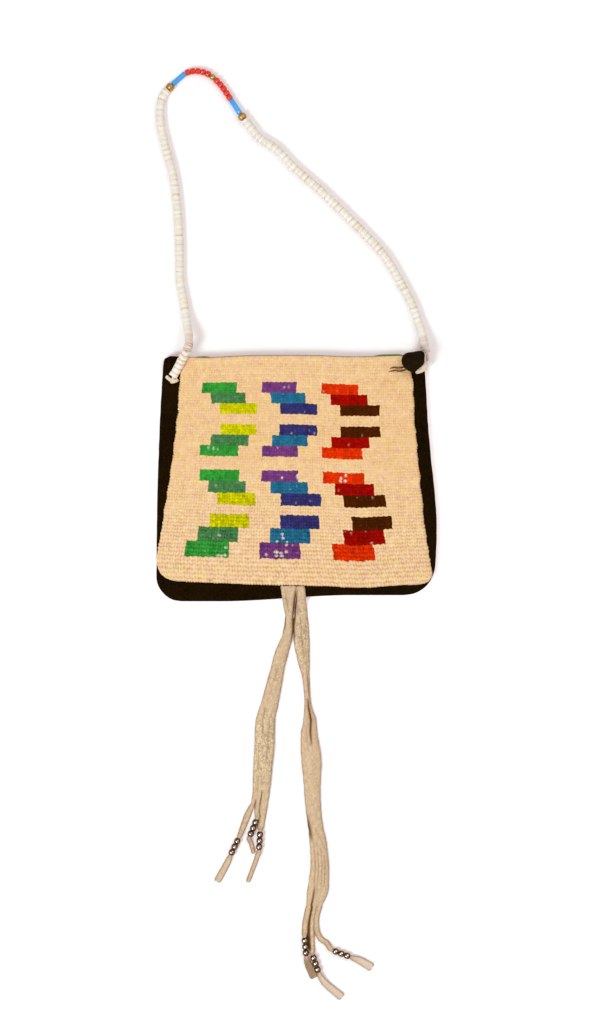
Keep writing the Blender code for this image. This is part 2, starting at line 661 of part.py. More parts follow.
def make_button(material, thread):
    middle_y = BAG_TOP_Y - BUTTON_DROP
    centre = Vector((bag_side_x(1, middle_y) - BUTTON_INSET, middle_y, HUSK_TOP_Z + GAP + BUTTON_HEIGHT / 2))
    bm = bmesh.new()
    bmesh.ops.create_icosphere(bm, subdivisions=3, radius=1.0)
    for vertex in bm.verts:
        direction = vertex.co.normalized()
        swell = 1.0
        for lobe, amount, sharpness in BUTTON_LOBES:
            swell += amount * max(direction.dot(Vector(lobe).normalized()), 0.0) ** sharpness
        vertex.co.x = direction.x * BUTTON_RADIUS * swell
        vertex.co.y = direction.y * BUTTON_RADIUS * swell
        vertex.co.z = direction.z * BUTTON_HEIGHT / 2
    item = add_object("ball_button", mesh_from("ball_button", bm), [material])
    item.location = centre
    rest = HUSK_TOP_Z + GAP + THREAD_DIAMETER / 2
    for i, route in enumerate(THREADS):
        path = Path([(centre.x + x * MM, centre.y + y * MM, rest) for x, y in route])
        points = [path.at(path.length * k / 9) for k in range(10)]
        tube(f"button_thread_{i + 1}", points, THREAD_DIAMETER, thread)


# Tails

def tail_stations(stem, root):
    """The stem's left and right edge from the husk panel to the cut, over the pouch's edge."""
    middle = (root[0] + root[1]) / 2 * MM
    edge_y = bag_bottom_y(middle)
    start_y = husk_y(middle, 1.0) - GAP
    half = HIDE_THICKNESS / 2
    on_leather = POUCH_THICKNESS + GAP + half
    floor = FLOOR_CLEARANCE + half
    over = [(start_y, on_leather), (edge_y + EDGE_ROLL, on_leather + TAIL_EDGE_LIFT)]
    over += [(edge_y + past, on_leather + fall) for past, fall in TAIL_DROPS]
    over.append((edge_y - TAIL_LANDS[0], floor + TAIL_LANDS[1]))
    first_down, first_left, first_right = stem[0]
    left = []
    right = []
    for y, z in over:
        t = (start_y - y) / (start_y - edge_y + first_down * MM)
        left.append((lerp(root[0], first_left, t) * MM, y, z))
        right.append((lerp(root[1], first_right, t) * MM, y, z))
    for down, x_left, x_right in stem:
        y = edge_y - down * MM
        left.append((x_left * MM, y, floor))
        right.append((x_right * MM, y, floor))
    return left, right


def strand_places(first, second, strand, edge_y):
    """Edge points of one strand, from the stem's two points on, and the beads' axes."""
    before, beads, after, end_width = strand
    floor = FLOOR_CLEARANCE + HIDE_THICKNESS / 2
    raised = FLOOR_CLEARANCE + METAL_BEAD_DIAMETER / 2
    pitch = METAL_BEAD_LENGTH + GAP
    middle = (first + second) / 2

    def place(point, z):
        return Vector((point[0] * MM, edge_y - point[1] * MM, z))

    low = place(beads[0], raised)
    high = place(beads[1], raised)
    way = (high - low).normalized()
    centre = (low + high) / 2
    ends = [centre + way * pitch * (k - BEADS_PER_STRAND / 2) for k in range(BEADS_PER_STRAND + 1)]
    axes = list(zip(ends, ends[1:]))
    route = [(middle, None)] + [(place(p, floor), STRAND_WIDTH) for p in before]
    route.append((ends[0] - way * STRAND_NECK, STRAND_IN_BEAD))
    route += [(end, STRAND_IN_BEAD) for end in ends]
    route.append((ends[-1] + way * STRAND_NECK, STRAND_IN_BEAD))
    route += [(place(p, floor), lerp(STRAND_WIDTH, end_width * MM, k / len(after)))
              for k, p in enumerate(after, 1)]
    edges = []
    for i in range(1, len(route)):
        here, width = route[i]
        past = route[i - 1][0]
        ahead = route[min(i + 1, len(route) - 1)][0]
        run = (ahead - past).normalized()
        across = Vector((-run.y, run.x, 0.0)).normalized() * width / 2
        edges.append((here - across, here + across))
    return edges, axes


def make_tail(name, stem, root, slits, strands, hide, metal, first_bead):
    """A strip of hide that is cut into three strands, with metal beads on each."""
    middle = (root[0] + root[1]) / 2 * MM
    edge_y = bag_bottom_y(middle)
    left, right = tail_stations(stem, root)
    left_path = Path(left)
    right_path = Path(right)
    bm = bmesh.new()
    grid = []
    for i in range(len(left) * 2 - 1):
        k = i * Path.SAMPLES // 2
        a = left_path.points[k]
        b = right_path.points[k]
        grid.append([bm.verts.new(a.lerp(b, part)) for part in (0.0, *slits, 1.0)])
    grid_faces(bm, grid, flip=True)
    count = first_bead
    for j, strand in enumerate(strands):
        first = grid[-1][j]
        second = grid[-1][j + 1]
        edges, axes = strand_places(first.co, second.co, strand, edge_y)
        rows = [[first, second]] + [[bm.verts.new(a), bm.verts.new(b)] for a, b in edges]
        grid_faces(bm, rows, flip=True)
        for axis in axes:
            turned_bead(f"metal_bead_{count}", axis, METAL_BEAD_LENGTH, METAL_BEAD_DIAMETER,
                        METAL_BEAD_BORE, 0.5, metal)
            count += 1
    item = add_object(name, mesh_from(name, bm), [hide])
    add_solidify(item, HIDE_THICKNESS, 0)
    return count


clear_scene()
HANDBAG = make_collection("corn_husk_handbag")
ROOT = bpy.data.objects.new("handbag_root", None)
HANDBAG.objects.link(ROOT)

leather = make_material("dark_leather", (0.012, 0.007, 0.003), 0.75)
cloth = make_material("green_cloth", (0.10, 0.32, 0.10), 0.9)
natural_husk = make_material("natural_husk", (0.86, 0.60, 0.30), 0.7)
dyed_husk = [make_material(f"husk_{dye}", color, 0.6) for motif in DYES for dye, color in motif]
buckskin = make_material("buckskin", (0.62, 0.46, 0.28), 0.85)
brass_metal = make_material("brass", (0.42, 0.24, 0.08), 0.35, 1.0)
strap_materials = {
    "shell": make_material("shell", (0.88, 0.80, 0.66), 0.45),
    "string": make_material("string", (0.75, 0.66, 0.5), 0.9),
    "brass_bead": brass_metal,
    "middle_brass_bead": brass_metal,
    "tube_bead": make_material("blue_glass", (0.08, 0.40, 0.85), 0.25),
    "red_bead": make_material("red_glass", (0.75, 0.02, 0.01), 0.2),
}
bead_metal = make_material("nickel", (0.35, 0.28, 0.2), 0.3, 1.0)
button_leather = make_material("black_leather", (0.01, 0.007, 0.004), 0.6)
dark_thread = make_material("dark_thread", (0.08, 0.03, 0.01), 0.85)

leather_panel("front_panel", 1, leather)
leather_panel("back_panel", -1, leather)
make_lining(cloth)
make_husk_panel(natural_husk, dyed_husk)
make_strap(strap_materials)
make_knot("knot_left", Vector(STRAP_ROUTE[0]) * MM, LEFT_KNOT, buckskin)
make_knot("knot_right", Vector(STRAP_ROUTE[-1]) * MM, RIGHT_KNOT, buckskin)
make_button(button_leather, dark_thread)
next_bead = make_tail("tail_left", TAIL_LEFT_STEM, TAIL_LEFT_ROOT, TAIL_LEFT_SLITS, TAIL_LEFT_STRANDS,
                      buckskin, bead_metal, 1)
make_tail("tail_right", TAIL_RIGHT_STEM, TAIL_RIGHT_ROOT, TAIL_RIGHT_SLITS, TAIL_RIGHT_STRANDS,
          buckskin, bead_metal, next_bead)
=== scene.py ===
"""Looks of the corn husk handbag, laid on its back on a pale floor and seen from straight above.

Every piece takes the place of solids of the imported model. Units are metres and +Z is up. +X is to the
right as seen from above, and +Y runs from the pouch to the strap.
"""

from bisect import bisect_left
import math
import random

import bmesh
import bpy
import numpy as np
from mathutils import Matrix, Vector, noise


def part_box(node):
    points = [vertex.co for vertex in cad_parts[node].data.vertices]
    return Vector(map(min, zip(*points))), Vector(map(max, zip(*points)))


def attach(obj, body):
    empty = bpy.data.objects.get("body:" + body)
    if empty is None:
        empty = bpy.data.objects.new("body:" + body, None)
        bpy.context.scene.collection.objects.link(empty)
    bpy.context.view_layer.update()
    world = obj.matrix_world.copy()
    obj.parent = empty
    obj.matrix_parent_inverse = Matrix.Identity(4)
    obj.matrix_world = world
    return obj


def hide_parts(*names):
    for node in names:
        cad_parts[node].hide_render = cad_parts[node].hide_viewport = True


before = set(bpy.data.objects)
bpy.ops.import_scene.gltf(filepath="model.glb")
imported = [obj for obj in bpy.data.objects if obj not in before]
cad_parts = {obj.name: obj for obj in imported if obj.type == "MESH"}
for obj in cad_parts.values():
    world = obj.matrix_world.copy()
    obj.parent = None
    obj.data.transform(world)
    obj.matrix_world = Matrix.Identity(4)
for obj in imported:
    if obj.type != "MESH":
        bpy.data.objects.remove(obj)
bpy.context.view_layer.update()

MM = 0.001
UP = Vector((0.0, 0.0, 1.0))
RANDOM = random.Random(11)

# Camera
PHOTO_CENTRE = (0.9 * MM, -30.15 * MM)  # the point of the floor in the middle of the picture
PHOTO_HEIGHT = 921.6 * MM  # stretch of floor from the picture's bottom to its top
CAMERA_HEIGHT = 2.6

# Light: each lamp's place, size, power and colour, and warm walls all round
KEY = ((-1.35, -1.05, 2.25), 0.8, 39.6, (1.0, 1.0, 1.0))
FILL = ((1.05, 0.9, 2.22), 1.8, 21.6, (1.0, 0.93, 0.88))
WALLS = ((1.0, 0.90, 0.84), 0.42)
FLOOR_HALF = 3.0
FLOOR_COLOR = (0.90, 0.86, 0.85)  # as other things see it
FLOOR_SEEN = ((0.75, 0.95, 0.98), (0.278, 0.124, 0.132))  # as the camera sees it: its colour and its glow
POUCH_PAINTED_LIGHT = (0.27, -0.014, 0.104, 0.121)  # painted light beside the pouch, a stronger glow over its shadow: how much, and where along y

# Pouch, as in the model
BAG_TOP_Y = 110.5 * MM
BAG_HEIGHT = 217.5 * MM
BAG_BOTTOM_Y = BAG_TOP_Y - BAG_HEIGHT
BAG_TOP_WIDTH = 233.0 * MM
BAG_BOTTOM_WIDTH = 251.2 * MM
BAG_TOP_SHIFT = -2.3 * MM
BAG_SIDE_CURVE = 0.8
BAG_BULGES = {
    -1: (1.7 * MM, 0.0, 1.0, 1.0, 0.7),
    1: (3.4 * MM, 0.22, 0.92, 1.5, 1.5),
}
BAG_BOTTOM_STEP = (5.5 * MM, -68.0 * MM, 50.0 * MM, 0.6)
BAG_TOP_CORNER = 5.0 * MM
BAG_LEFT_CORNER = 22.0 * MM
BAG_RIGHT_CORNER = 29.0 * MM
LEATHER_THICKNESS = 1.6 * MM
EDGE_ROLL = 6.0 * MM
SEAM_DEPTH = 1.2 * MM
LEATHER_STEP = 2.4 * MM  # distance between two points of the leather's surface
EDGE_STEP = 0.9 * MM  # and near its edges
JOIN_DISTANCE = 0.005 * MM
LEATHER_SAG = 0.45 * MM  # depth of the soft dents in the leather, and their size
LEATHER_LUMP = 16 * MM
EDGE_WANDER = 0.5 * MM  # how far the leather's edge strays from its outline, and over what length
EDGE_LUMP = 14 * MM

# Lining
LINING_THICKNESS = 0.5 * MM
LINING_INSET = 3.0 * MM
LINING_ROLL = 5.0 * MM
LINING_EDGE = 4.0 * MM  # fine stretch of its surface at the mouth
LINING_LOW = -1.2 * MM  # its edge against the mouth, where it stays inside
LINING_DRAW = 14.0 * MM  # stretch over which the edge is drawn down
LINING_RIPPLE = 0.25 * MM
LINING_RIPPLE_SIZE = 5 * MM
LINING_SAG = 0.5 * MM  # depth and size of its soft dents
LINING_LUMP = 12 * MM
# Where the edge shows: x, half width and height
LINING_PEEKS = (
    (83.0 * MM, 15.0 * MM, 2.6 * MM), (-84.0 * MM, 8.0 * MM, 2.1 * MM), (20.0 * MM, 12.0 * MM, 0.9 * MM),
)

# Husk panel, as in the model
HUSK_TOP_DROP = 0.4 * MM
HUSK_BOTTOM_MARGIN = 10.6 * MM
HUSK_TOP_Y = BAG_TOP_Y - HUSK_TOP_DROP
HUSK_BOTTOM_Y = BAG_BOTTOM_Y + HUSK_BOTTOM_MARGIN
HUSK_HEIGHT = HUSK_TOP_Y - HUSK_BOTTOM_Y
HUSK_LEFT_MARGIN = (16.6 * MM, 0.4 * MM, 0.20, 0.90, 1.5)  # at the top and bottom, and how it changes
HUSK_RIGHT_MARGIN = (12.2 * MM, 1.5 * MM, 0.64, 0.96, 2.0)
HUSK_BOTTOM_RISE = 3.2 * MM
HUSK_BOTTOM_SLOPE = -0.0146
HUSK_BOTTOM_SAG = (1.9 * MM, 58.0 * MM, 26.0 * MM)
HUSK_TOP_CORNER = 4.0 * MM
HUSK_CORNERS = (18.0 * MM, 12.5 * MM)
MOUTH_DIPS = ((-84.0 * MM, 30.0 * MM, 1.9 * MM), (53.0 * MM, 26.0 * MM, 1.3 * MM))
MOUTH_DIP_DEPTH = 0.35  # part of the height over which the dips die out
HUSK_EDGE = 2.0 * MM
HEM_RIPPLE = 0.8 * MM  # depth of the notches between the stitches of the last row
HEM_UNEVEN = (0.3, 1.2)  # the least and most of that depth
SIDE_WAVE = 1.0 * MM  # how far the sides wander, over what length, and how far each row draws them in
SIDE_LUMP = 9 * MM
SIDE_RIPPLE = (0.1, 0.8)  # the least and most, in millimetres
SIDE_WAVE_END = (0.80, 0.95)  # parts of the height between which the wandering dies out
RIM_SHOWN = 1.1 * MM  # more of the leather's rim shows at the lower right, from a part of the height on
RIM_START = 0.85
RIM_HEIGHT = 0.35  # height of the panel's rim, as a part of its own
WEAVE_ROWS = 76
WEAVE_COLUMNS = 51
ROW_GROWTH = 0.125
ROW_GROWTH_POWER = 6
COLUMN_DRIFT = 0.036
MOTIF_ROWS = (10, 26, 43, 58)
BAR_ROWS = 4
BARS_IN_MOTIF = 3
MOTIF_BARS = (  # each bar's first and last half column, by motif row and bar
    (((10, 25), (36, 51), (62, 78)), ((14, 29), (40, 55), (66, 82)), ((18, 34), (44, 60), (70, 87))),
    (((19, 34), (44, 60), (70, 87)), ((15, 31), (41, 56), (66, 82)), ((11, 27), (37, 52), (62, 79))),
    (((12, 28), (37, 52), (62, 79)), ((16, 31), (41, 56), (67, 83)), ((20, 35), (45, 61), (70, 87))),
    (((18, 33), (45, 60), (73, 89)), ((14, 29), (41, 56), (69, 85)), ((10, 26), (37, 52), (64, 80))),
)
WEAVE_SAG = (1.3 * MM, 0.0, 40.0 * MM)  # the rows hang lower from the first x to the second
SAG_START = 0.1  # parts of the height where they do so wholly, and where that dies out
SAG_END = (0.45, 0.8)

# Stitches
ROW_SAMPLES = 4  # points across a row of the weave
COLUMN_SAMPLES = 6  # points across a column, which is two stitches wide
STITCH_SLANT = 0.10  # a column falls by this part of a row along its width
COLUMN_SAG = 0.10  # and hangs by this part of a row in its middle
STITCH_RELIEF = 0.15  # depth of the grooves, as a part of a row's height
STITCH_JITTER = 0.075  # how far a cell's points stray, as a part of a row
JITTER_ALONG = 0.7  # and along the row, as a part of that
SWELL_LOSSES = (0.7, 0.35, 0.10)  # how much lower a point is between rows, between stitches, and by chance
GROOVE_SHADE_SHARES = (0.30, 0.70, 0.16)  # painted shade: how dark it is between rows, more so at their corners, and between stitches
GROOVE_SHADE_DEPTHS = (0.50, 1.45)  # how dark the painted shade in the pits is, at the top and at the bottom
GROOVE_SHADE_GROWTH = (0.45, 0.90)  # parts of the height between which the pits' painted shade grows
STITCH_SHADE_SPREAD = 0.30  # how much the pits' painted shade differs from stitch to stitch, and from point to point
GROOVE_SHADE_SPREAD = 0.45
PATCHINESS = (1.1, 0.4)  # and from patch to patch, at the top and at the bottom
PATCH_SIZE = 9 * MM
PATCH_LIMITS = (0.3, 1.6)
CORNER_SQUEEZE = 26.0 * MM  # width over which the round corners draw the columns in
NATURAL = (0.915, 0.660, 0.360)
NATURAL_TAN = (0.71, 0.43, 0.21)
NATURAL_PALE = (0.98, 0.80, 0.53)
MOODS = (0.8, 0.3)  # how much the natural husk differs from stitch to stitch, and from row to row
TO_PALE = (0.30, 0.60)  # how far that takes it to the pale tone and to the tan one, and the most
TO_TAN = (-0.14, 0.40)
PALER_BELOW = 0.45
DYE_SPREADS = (0.11, 0.06)  # how much the dyes differ from stitch to stitch, and from column to column
WORN = (0.90, 0.84, 0.76)
WORN_RAGGED = (0.5, 1.3 * MM)  # how ragged the edge of a worn spot is, and the size of that
DYES = (
    ((0.035, 0.345, 0.044), (0.066, 0.238, 0.080), (0.620, 0.640, 0.0006)),
    ((0.185, 0.048, 0.230), (0.019, 0.165, 0.315), (0.038, 0.036, 0.180)),
    ((0.780, 0.033, 0.0008), (0.345, 0.0025, 0.0004), (0.070, 0.014, 0.0004)),
)

# Spots where the dye is worn off, in millimetres: x, y, reach along and across the rows, and how far
WORN_SPOTS = (
    (-55.1, 84.3, 1.0, 1.4, 0.35), (-11.0, 81.7, 1.1, 1.8, 0.6), (-6.8, 82.0, 1.1, 1.8, 0.5),
    (24.1, 78.0, 1.1, 1.4, 0.5), (36.3, 78.1, 1.0, 1.2, 0.25), (7.4, 59.4, 0.9, 1.7, 0.3),
    (-78.8, 27.3, 1.2, 1.7, 0.6), (-74.5, 26.9, 1.3, 1.8, 0.65), (-70.5, 25.9, 1.1, 1.5, 0.45),
    (-61.5, 40.4, 0.9, 1.4, 0.3), (-4.4, 40.3, 1.1, 1.5, 0.55), (11.6, 42.9, 0.9, 1.2, 0.3),
    (16.0, 40.3, 1.1, 1.7, 0.5), (-16.9, 27.5, 1.2, 1.6, 0.5), (58.8, 38.4, 1.0, 1.7, 0.3),
    (46.6, 29.9, 1.2, 1.7, 0.3), (-72.1, -6.8, 1.1, 1.5, 0.45), (-13.0, 0.7, 1.2, 1.7, 0.9),
    (1.0, 1.8, 1.6, 3.2, 0.9), (0.3, -7.4, 1.0, 1.4, 0.3), (-5.5, -9.9, 1.0, 1.4, 0.3),
    (12.3, -20.2, 1.1, 1.4, 0.35), (-0.5, -22.1, 1.1, 1.4, 0.35), (39.9, -0.1, 1.5, 1.7, 0.95),
    (44.2, 2.5, 1.5, 1.8, 0.95), (39.5, -2.5, 1.7, 1.4, 0.85), (43.5, -2.4, 1.8, 1.5, 0.95),
    (49.0, 4.6, 1.0, 1.5, 0.3), (68.1, -17.5, 1.2, 1.9, 0.4), (54.3, -17.5, 1.0, 1.2, 0.25),
    (37.7, -11.0, 1.0, 1.4, 0.3), (-69.2, -50.7, 1.5, 1.6, 0.75), (-74.3, -53.7, 1.2, 1.4, 0.4),
    (-71.0, -53.6, 1.1, 1.2, 0.3), (-63.4, -62.1, 1.6, 1.7, 0.9), (-70.2, -69.1, 2.0, 1.4, 0.85),
    (-67.0, -69.2, 1.9, 1.5, 0.9), (-64.0, -68.8, 1.7, 1.5, 0.85), (-82.1, -65.2, 1.2, 1.2, 0.35),
    (-12.6, -50.1, 1.6, 1.6, 0.85), (-12.0, -53.6, 1.6, 1.6, 0.9), (-17.4, -56.5, 1.6, 1.4, 0.85),
    (-8.4, -57.0, 1.4, 1.4, 0.75), (-3.6, -60.2, 1.3, 1.3, 0.5), (-9.1, -59.4, 1.5, 1.5, 0.8),
    (-18.1, -65.9, 2.6, 1.9, 0.95), (-13.9, -66.7, 2.0, 1.6, 0.9), (-9.4, -65.8, 1.7, 1.7, 0.9),
    (-18.0, -69.3, 1.9, 1.6, 0.9), (-13.0, -69.6, 2.0, 1.5, 0.9), (-27.2, -68.3, 1.7, 1.7, 0.9),
    (0.5, -66.2, 1.2, 1.4, 0.35), (49.0, -49.3, 1.1, 1.4, 0.45), (61.8, -47.6, 1.0, 1.2, 0.3),
    (67.3, -57.8, 1.5, 1.4, 0.55), (43.5, -47.6, 1.0, 1.2, 0.3),
)

# Strap, as in the model
DISC_DIAMETER = 8.1 * MM
DISC_PITCH = 2.9 * MM
DISC_BORE = 1.9 * MM
LEFT_DISCS = 92
RIGHT_THONG = 9.5 * MM
LEFT_THONG = 2.6 * MM
LEFT_REACH = 2.1 * MM  # how far the left discs come down over the knot
RIGHT_REACH = 2.9 * MM  # how far the right discs come down over the thong
THONG_DIAMETER = 2.6 * MM
STRING_DIAMETER = 1.2 * MM
BEAD_BORE = 1.9 * MM
BEAD_GAP = 0.45 * MM
STRAP_ROUTE = (  # in millimetres
    (-111.0, 90.6, 14.4), (-108.1, 95.4, 14.9), (-103.6, 103.8, 17.0), (-99.2, 112.1, 18.3),
    (-96.5, 119.2, 17.2), (-96.4, 126.2, 13.6), (-97.5, 134.3, 9.6), (-99.4, 146.3, 5.6),
    (-101.2, 158.0, 4.3), (-104.6, 178.0, 4.2), (-105.1, 205.5, 4.2), (-106.5, 236.0, 4.2),
    (-110.3, 268.5, 4.2), (-119.0, 303.0, 4.2), (-122.6, 322.0, 4.2), (-121.9, 337.2, 4.2),
    (-118.7, 345.9, 4.2), (-113.5, 351.6, 4.2), (-106.3, 359.6, 3.6), (-100.3, 364.1, 3.2),
    (-93.0, 366.3, 3.1), (-88.9, 366.2, 3.1), (-83.2, 365.2, 3.1), (-78.4, 363.1, 3.2),
    (-75.0, 360.4, 3.3), (-70.7, 356.7, 3.1), (-65.2, 349.9, 3.1), (-60.7, 343.0, 3.1),
    (-58.9, 340.3, 3.2), (-50.7, 327.8, 4.0), (-48.7, 324.9, 4.2), (-39.6, 313.2, 4.2),
    (-33.9, 306.2, 4.2), (-18.1, 295.6, 4.2), (-2.1, 279.2, 4.2), (24.6, 255.8, 4.2), (64.3, 216.4, 4.2),
    (81.5, 196.5, 4.2), (94.5, 174.3, 4.2), (104.2, 155.3, 4.2), (111.4, 134.3, 5.6), (115.2, 117.0, 10.4),
    (117.4, 109.5, 11.8), (117.7, 105.4, 11.8),
)
DISC_SIDES = 20
DISC_SHARP = math.radians(55)
DISC_TILT = 0.02
DISC_STRAY = 0.12  # millimetres
DISC_CHAMFERS = (0.10, 0.22)  # millimetres
DISC_RADII = ((0.98, 1.0), (0.96, 0.99))  # of thick and thin discs, as parts of their radius
THICK_DISC = (2.6 * MM, 3.6 * MM)  # thinnest and thickest of the pale discs
THIN_DISC = (1.1 * MM, 1.9 * MM)  # and of the tan ones between them
DISC_GAP = 0.03 * MM
THICK_TINTS = ((0.91, 0.93, 0.87), (0.92, 0.91, 0.84), (0.88, 0.87, 0.80), (0.93, 0.97, 0.92))
THIN_TINTS = ((0.92, 0.86, 0.73), (0.91, 0.81, 0.64), (0.88, 0.83, 0.76), (0.87, 0.71, 0.50))
TINT_STRENGTHS = (0.96, 1.02)
PAINTED_SHADE_TINT = (0.91, 0.83, 0.81)  # painted shade on the discs that hang between the floor and the pouch
LIT_POUCH_TINTS = ((0.97, 0.96, 0.90), (0.80, 0.60, 0.38))  # thick and thin discs on the pouch, with painted light and shade: the thick ones brighter as lit, the thin ones darker tan as shaded
LEFT_BEND = (26.0 * MM, 40.0 * MM)  # where the left discs leave the pouch, and reach the floor; the discs between get a painted shade
RIGHT_BEND = 13.0 * MM  # length of the stretch at the right end whose discs get a painted shade
LEFT_RISE = 0.80  # how far the discs on the pouch look up, as a part of their way
RISE_LENGTH = 16 * MM
STRING_POINTS = 200

# Bead profiles: places along the bead from its end to its middle, as parts of its length, and radii there
ROUND_HALF = ((0.0, 0.52), (0.05, 0.72), (0.17, 0.89), (0.33, 0.975), (0.5, 1.0))
BARREL_HALF = ((0.0, 0.70), (0.03, 0.82), (0.10, 0.92), (0.25, 0.985), (0.5, 1.0))
TUBE_HALF = ((0.0, 0.80), (0.02, 0.93), (0.06, 1.0), (0.5, 0.985))
ROUND_PROFILE, BARREL_PROFILE, TUBE_PROFILE = (
    half + tuple((1 - along, radius) for along, radius in half[-2::-1])
    for half in (ROUND_HALF, BARREL_HALF, TUBE_HALF)
)
BEAD_SIDES = 28
BEAD_SHARP = math.radians(50)
BORE_WALL = 0.15 * MM

# Beads of the strap's middle: stretch of the string, length and diameter in millimetres, profile and slot
BEADS = {
    "brass_bead": (6.0, 6.0, 7.9, ROUND_PROFILE, "brass"),
    "tube_bead": (14.9, 15.1, 4.9, TUBE_PROFILE, "blue_glass"),
    "red_bead": (4.25, 4.5, 5.8, BARREL_PROFILE, "red_glass"),
    "middle_brass_bead": (5.0, 5.1, 5.6, ROUND_PROFILE, "brass"),
}
HALF_ORDER = ("brass_bead", "tube_bead", *["red_bead"] * 5)
BEAD_ORDER = (*HALF_ORDER, "middle_brass_bead", *reversed(HALF_ORDER))

# Ball button, as in the model
BUTTON_RADIUS = 9.9 * MM
BUTTON_INSET = 10.4 * MM
BUTTON_DROP = 5.7 * MM
# Lobes and flats of the ball: a direction, how far it stands out there, and how narrow it is
BUTTON_LOBES = (
    ((0.72, 0.70, 0.0), 0.14, 9), ((0.1, -1.0, -0.1), 0.16, 14), ((0.80, 0.60, 0.0), 0.09, 12),
    ((-0.08, 1.0, 0.0), -0.20, 6), ((-1.0, 0.1, 0.0), 0.09, 5), ((0.50, -0.86, 0.0), -0.20, 10),
)
CREASES = 9  # how many run to the first lobe's tip, and how far they bend
CREASE_BEND = 1.7
CREASE_DEPTHS = (0.02, 0.10)  # far from that tip, and what comes to it at the tip
BUTTON_DENTS = ((0.045, 2.1), (0.02, 5.0))  # depth, and how close together
THREAD_DIAMETER = 1.15 * MM
THREAD_CLEARANCE = 0.3 * MM
THREAD_POINTS = 30
THREAD_LIFT = 0.35 * MM
THREAD_TAPER = 0.45  # how much thinner its end gets, past a part of its length
THREAD_TIP = 0.85
THREADS = (
    ((-4.8, -4.7), (-8.5, -5.4), (-12.5, -6.2), (-16.5, -5.7), (-20.8, -6.4)),
    ((-4.1, -6.3), (-7.5, -7.8), (-11.5, -8.9), (-16.0, -8.4), (-21.7, -9.3)),
)

# Knots: each strip of hide by its points in millimetres from the string's end, its width, and how pale it is
LEFT_KNOT = (
    (((-6.0, 0.6, -2.0), (-5.0, 0.1, -1.6), (-3.6, -1.1, -0.9), (-2.0, -2.4, -0.2), (0.2, -3.0, -0.6)),
     3.2, 0.0),
    (((-1.8, -3.9, -2.3), (-0.2, -4.1, -0.6), (1.8, -3.8, 0.2), (3.6, -3.0, -0.6), (4.6, -2.2, -2.2)),
     3.3, 0.0),
    (((1.8, 0.4, -2.2), (1.0, -0.6, 0.4), (0.4, -2.0, 1.0), (0.0, -3.4, -0.2), (-0.4, -4.4, -2.2)), 3.0, 0.0),
)
RIGHT_KNOT = (
    (((-11.2, -9.0, -0.4), (-9.2, -8.9, 0.2), (-6.6, -8.2, 1.2), (-3.8, -6.8, 1.2), (-1.6, -5.4, 0.2)),
     5.6, 0.0),
    (((-7.4, -6.6, 0.4), (-5.4, -5.6, 1.2), (-3.6, -4.6, 1.6), (-2.2, -3.4, 1.4), (-1.4, -2.2, 0.4)),
     5.2, 0.2),
    (((-1.2, 8.8, 0.0), (-2.8, 5.0, -0.2), (-3.8, 1.5, -0.4), (-3.8, -2.0, -0.6), (-3.4, -5.0, -1.0)),
     4.2, 1.0),
    (((0.2, 3.6, -1.2), (-0.4, 0.4, -0.8), (-1.0, -2.4, -0.8), (-1.8, -5.0, -1.2)), 3.0, 1.0),
)
STRIP_THICKNESS = 1.9 * MM
STRIP_POINTS = 22
STRIP_SIDES = 12

# Tails
HIDE_THICKNESS = 1.3 * MM
FLOOR_CLEARANCE = 0.15 * MM
HIDE_Z = FLOOR_CLEARANCE + HIDE_THICKNESS / 2  # middle of the hide where it lies on the floor
TAIL_OVER_EDGE = ((6.0, 0.1), (1.0, -1.4), (-2.0, -4.2), (-6.0, -7.6))  # y from the pouch's edge, and rise
TAIL_LANDING = 12.0 * MM  # how far from that edge a tail reaches the floor, and its height over it there
LANDING_RISE = 0.4 * MM
TAIL_CLEARANCE = 0.3 * MM  # to the husk panel and to the leather
STEM_ON_FLOOR = 0.25  # part of the stem past which it lies on the floor
STEM_DRAWN = (0.95, 1.0)  # parts of it between which it draws flat for the cuts
ACROSS = 8  # faces across each third of a tail
STEM_POINTS = 3 * ACROSS + 1
STRAND_STATIONS = 34
STRAND_WIDTH = 4.6 * MM
STRAND_IN_BEAD = 2.4 * MM
STRAND_AT_BEAD = 1.7 * STRAND_IN_BEAD  # where it is drawn together beside its beads, and how far from them
BEAD_NECK = 2.0 * MM
STRAND_CRUMPLE = 0.45
METAL_BEAD_DIAMETER = 5.8 * MM
METAL_BEAD_LENGTH = 5.2 * MM
METAL_BEAD_BORE = 3.6 * MM
METAL_BEAD_GAP = 0.3 * MM
BEADS_PER_STRAND = 3
CRUMPLE_DEPTH = 1.3 * MM
CRUMPLE_LEAST = 0.25
CRUMPLE_MIDDLE = 0.25  # creases above this stand out, and those below it lie deeper
STEM_RAGGED = 0.40 * MM  # how far the stem's edges stray
RAGS, LIFTS, WRINKLES = 160, 22, 260  # how many of them come to a metre
TAIL_ARCH = 1.7 * MM  # height of the middle of a tail over its edges, and the part of it where a tail starts
ARCH_AT_ROOT = 0.35
FOLD_BANK = (0.5, 2.6)  # height and width of the banks beside a fold, as parts of its own
# darkness of the painted shade in the folds
FOLD_SHADE = 1.6
TAIL_LIFT = 0.9 * MM  # most by which its edges leave the floor
STRAND_ROUND = 2.2 * MM  # radius of the ends' corners
RIM_WIDTH = 0.9 * MM  # how far the edges are darker, and how much
RIM_TONE = 0.42
RIM_PATCHES = (0.5, 1.6, 170)  # the least of that, how much may come to it, and how many patches to a metre
STRAND_REST = 0.15 * MM  # height of a strand's middle, curl of its edges, and its unevenness
STRAND_CURL = 0.5 * MM
STRAND_WAVES = (0.5 * MM, 200)
STRAND_TIP = 0.45  # width of its end, as a part of its own
TONE_CHANGE = (-0.02, 0.04)  # where its tone sets in, from the end of its beads
FLAP_TONES = (1.0, 1.0, 0.95, 0.5)  # how brown the points of a flap are, from its edge in: the hide's underside in the slit, darkened by painted shade
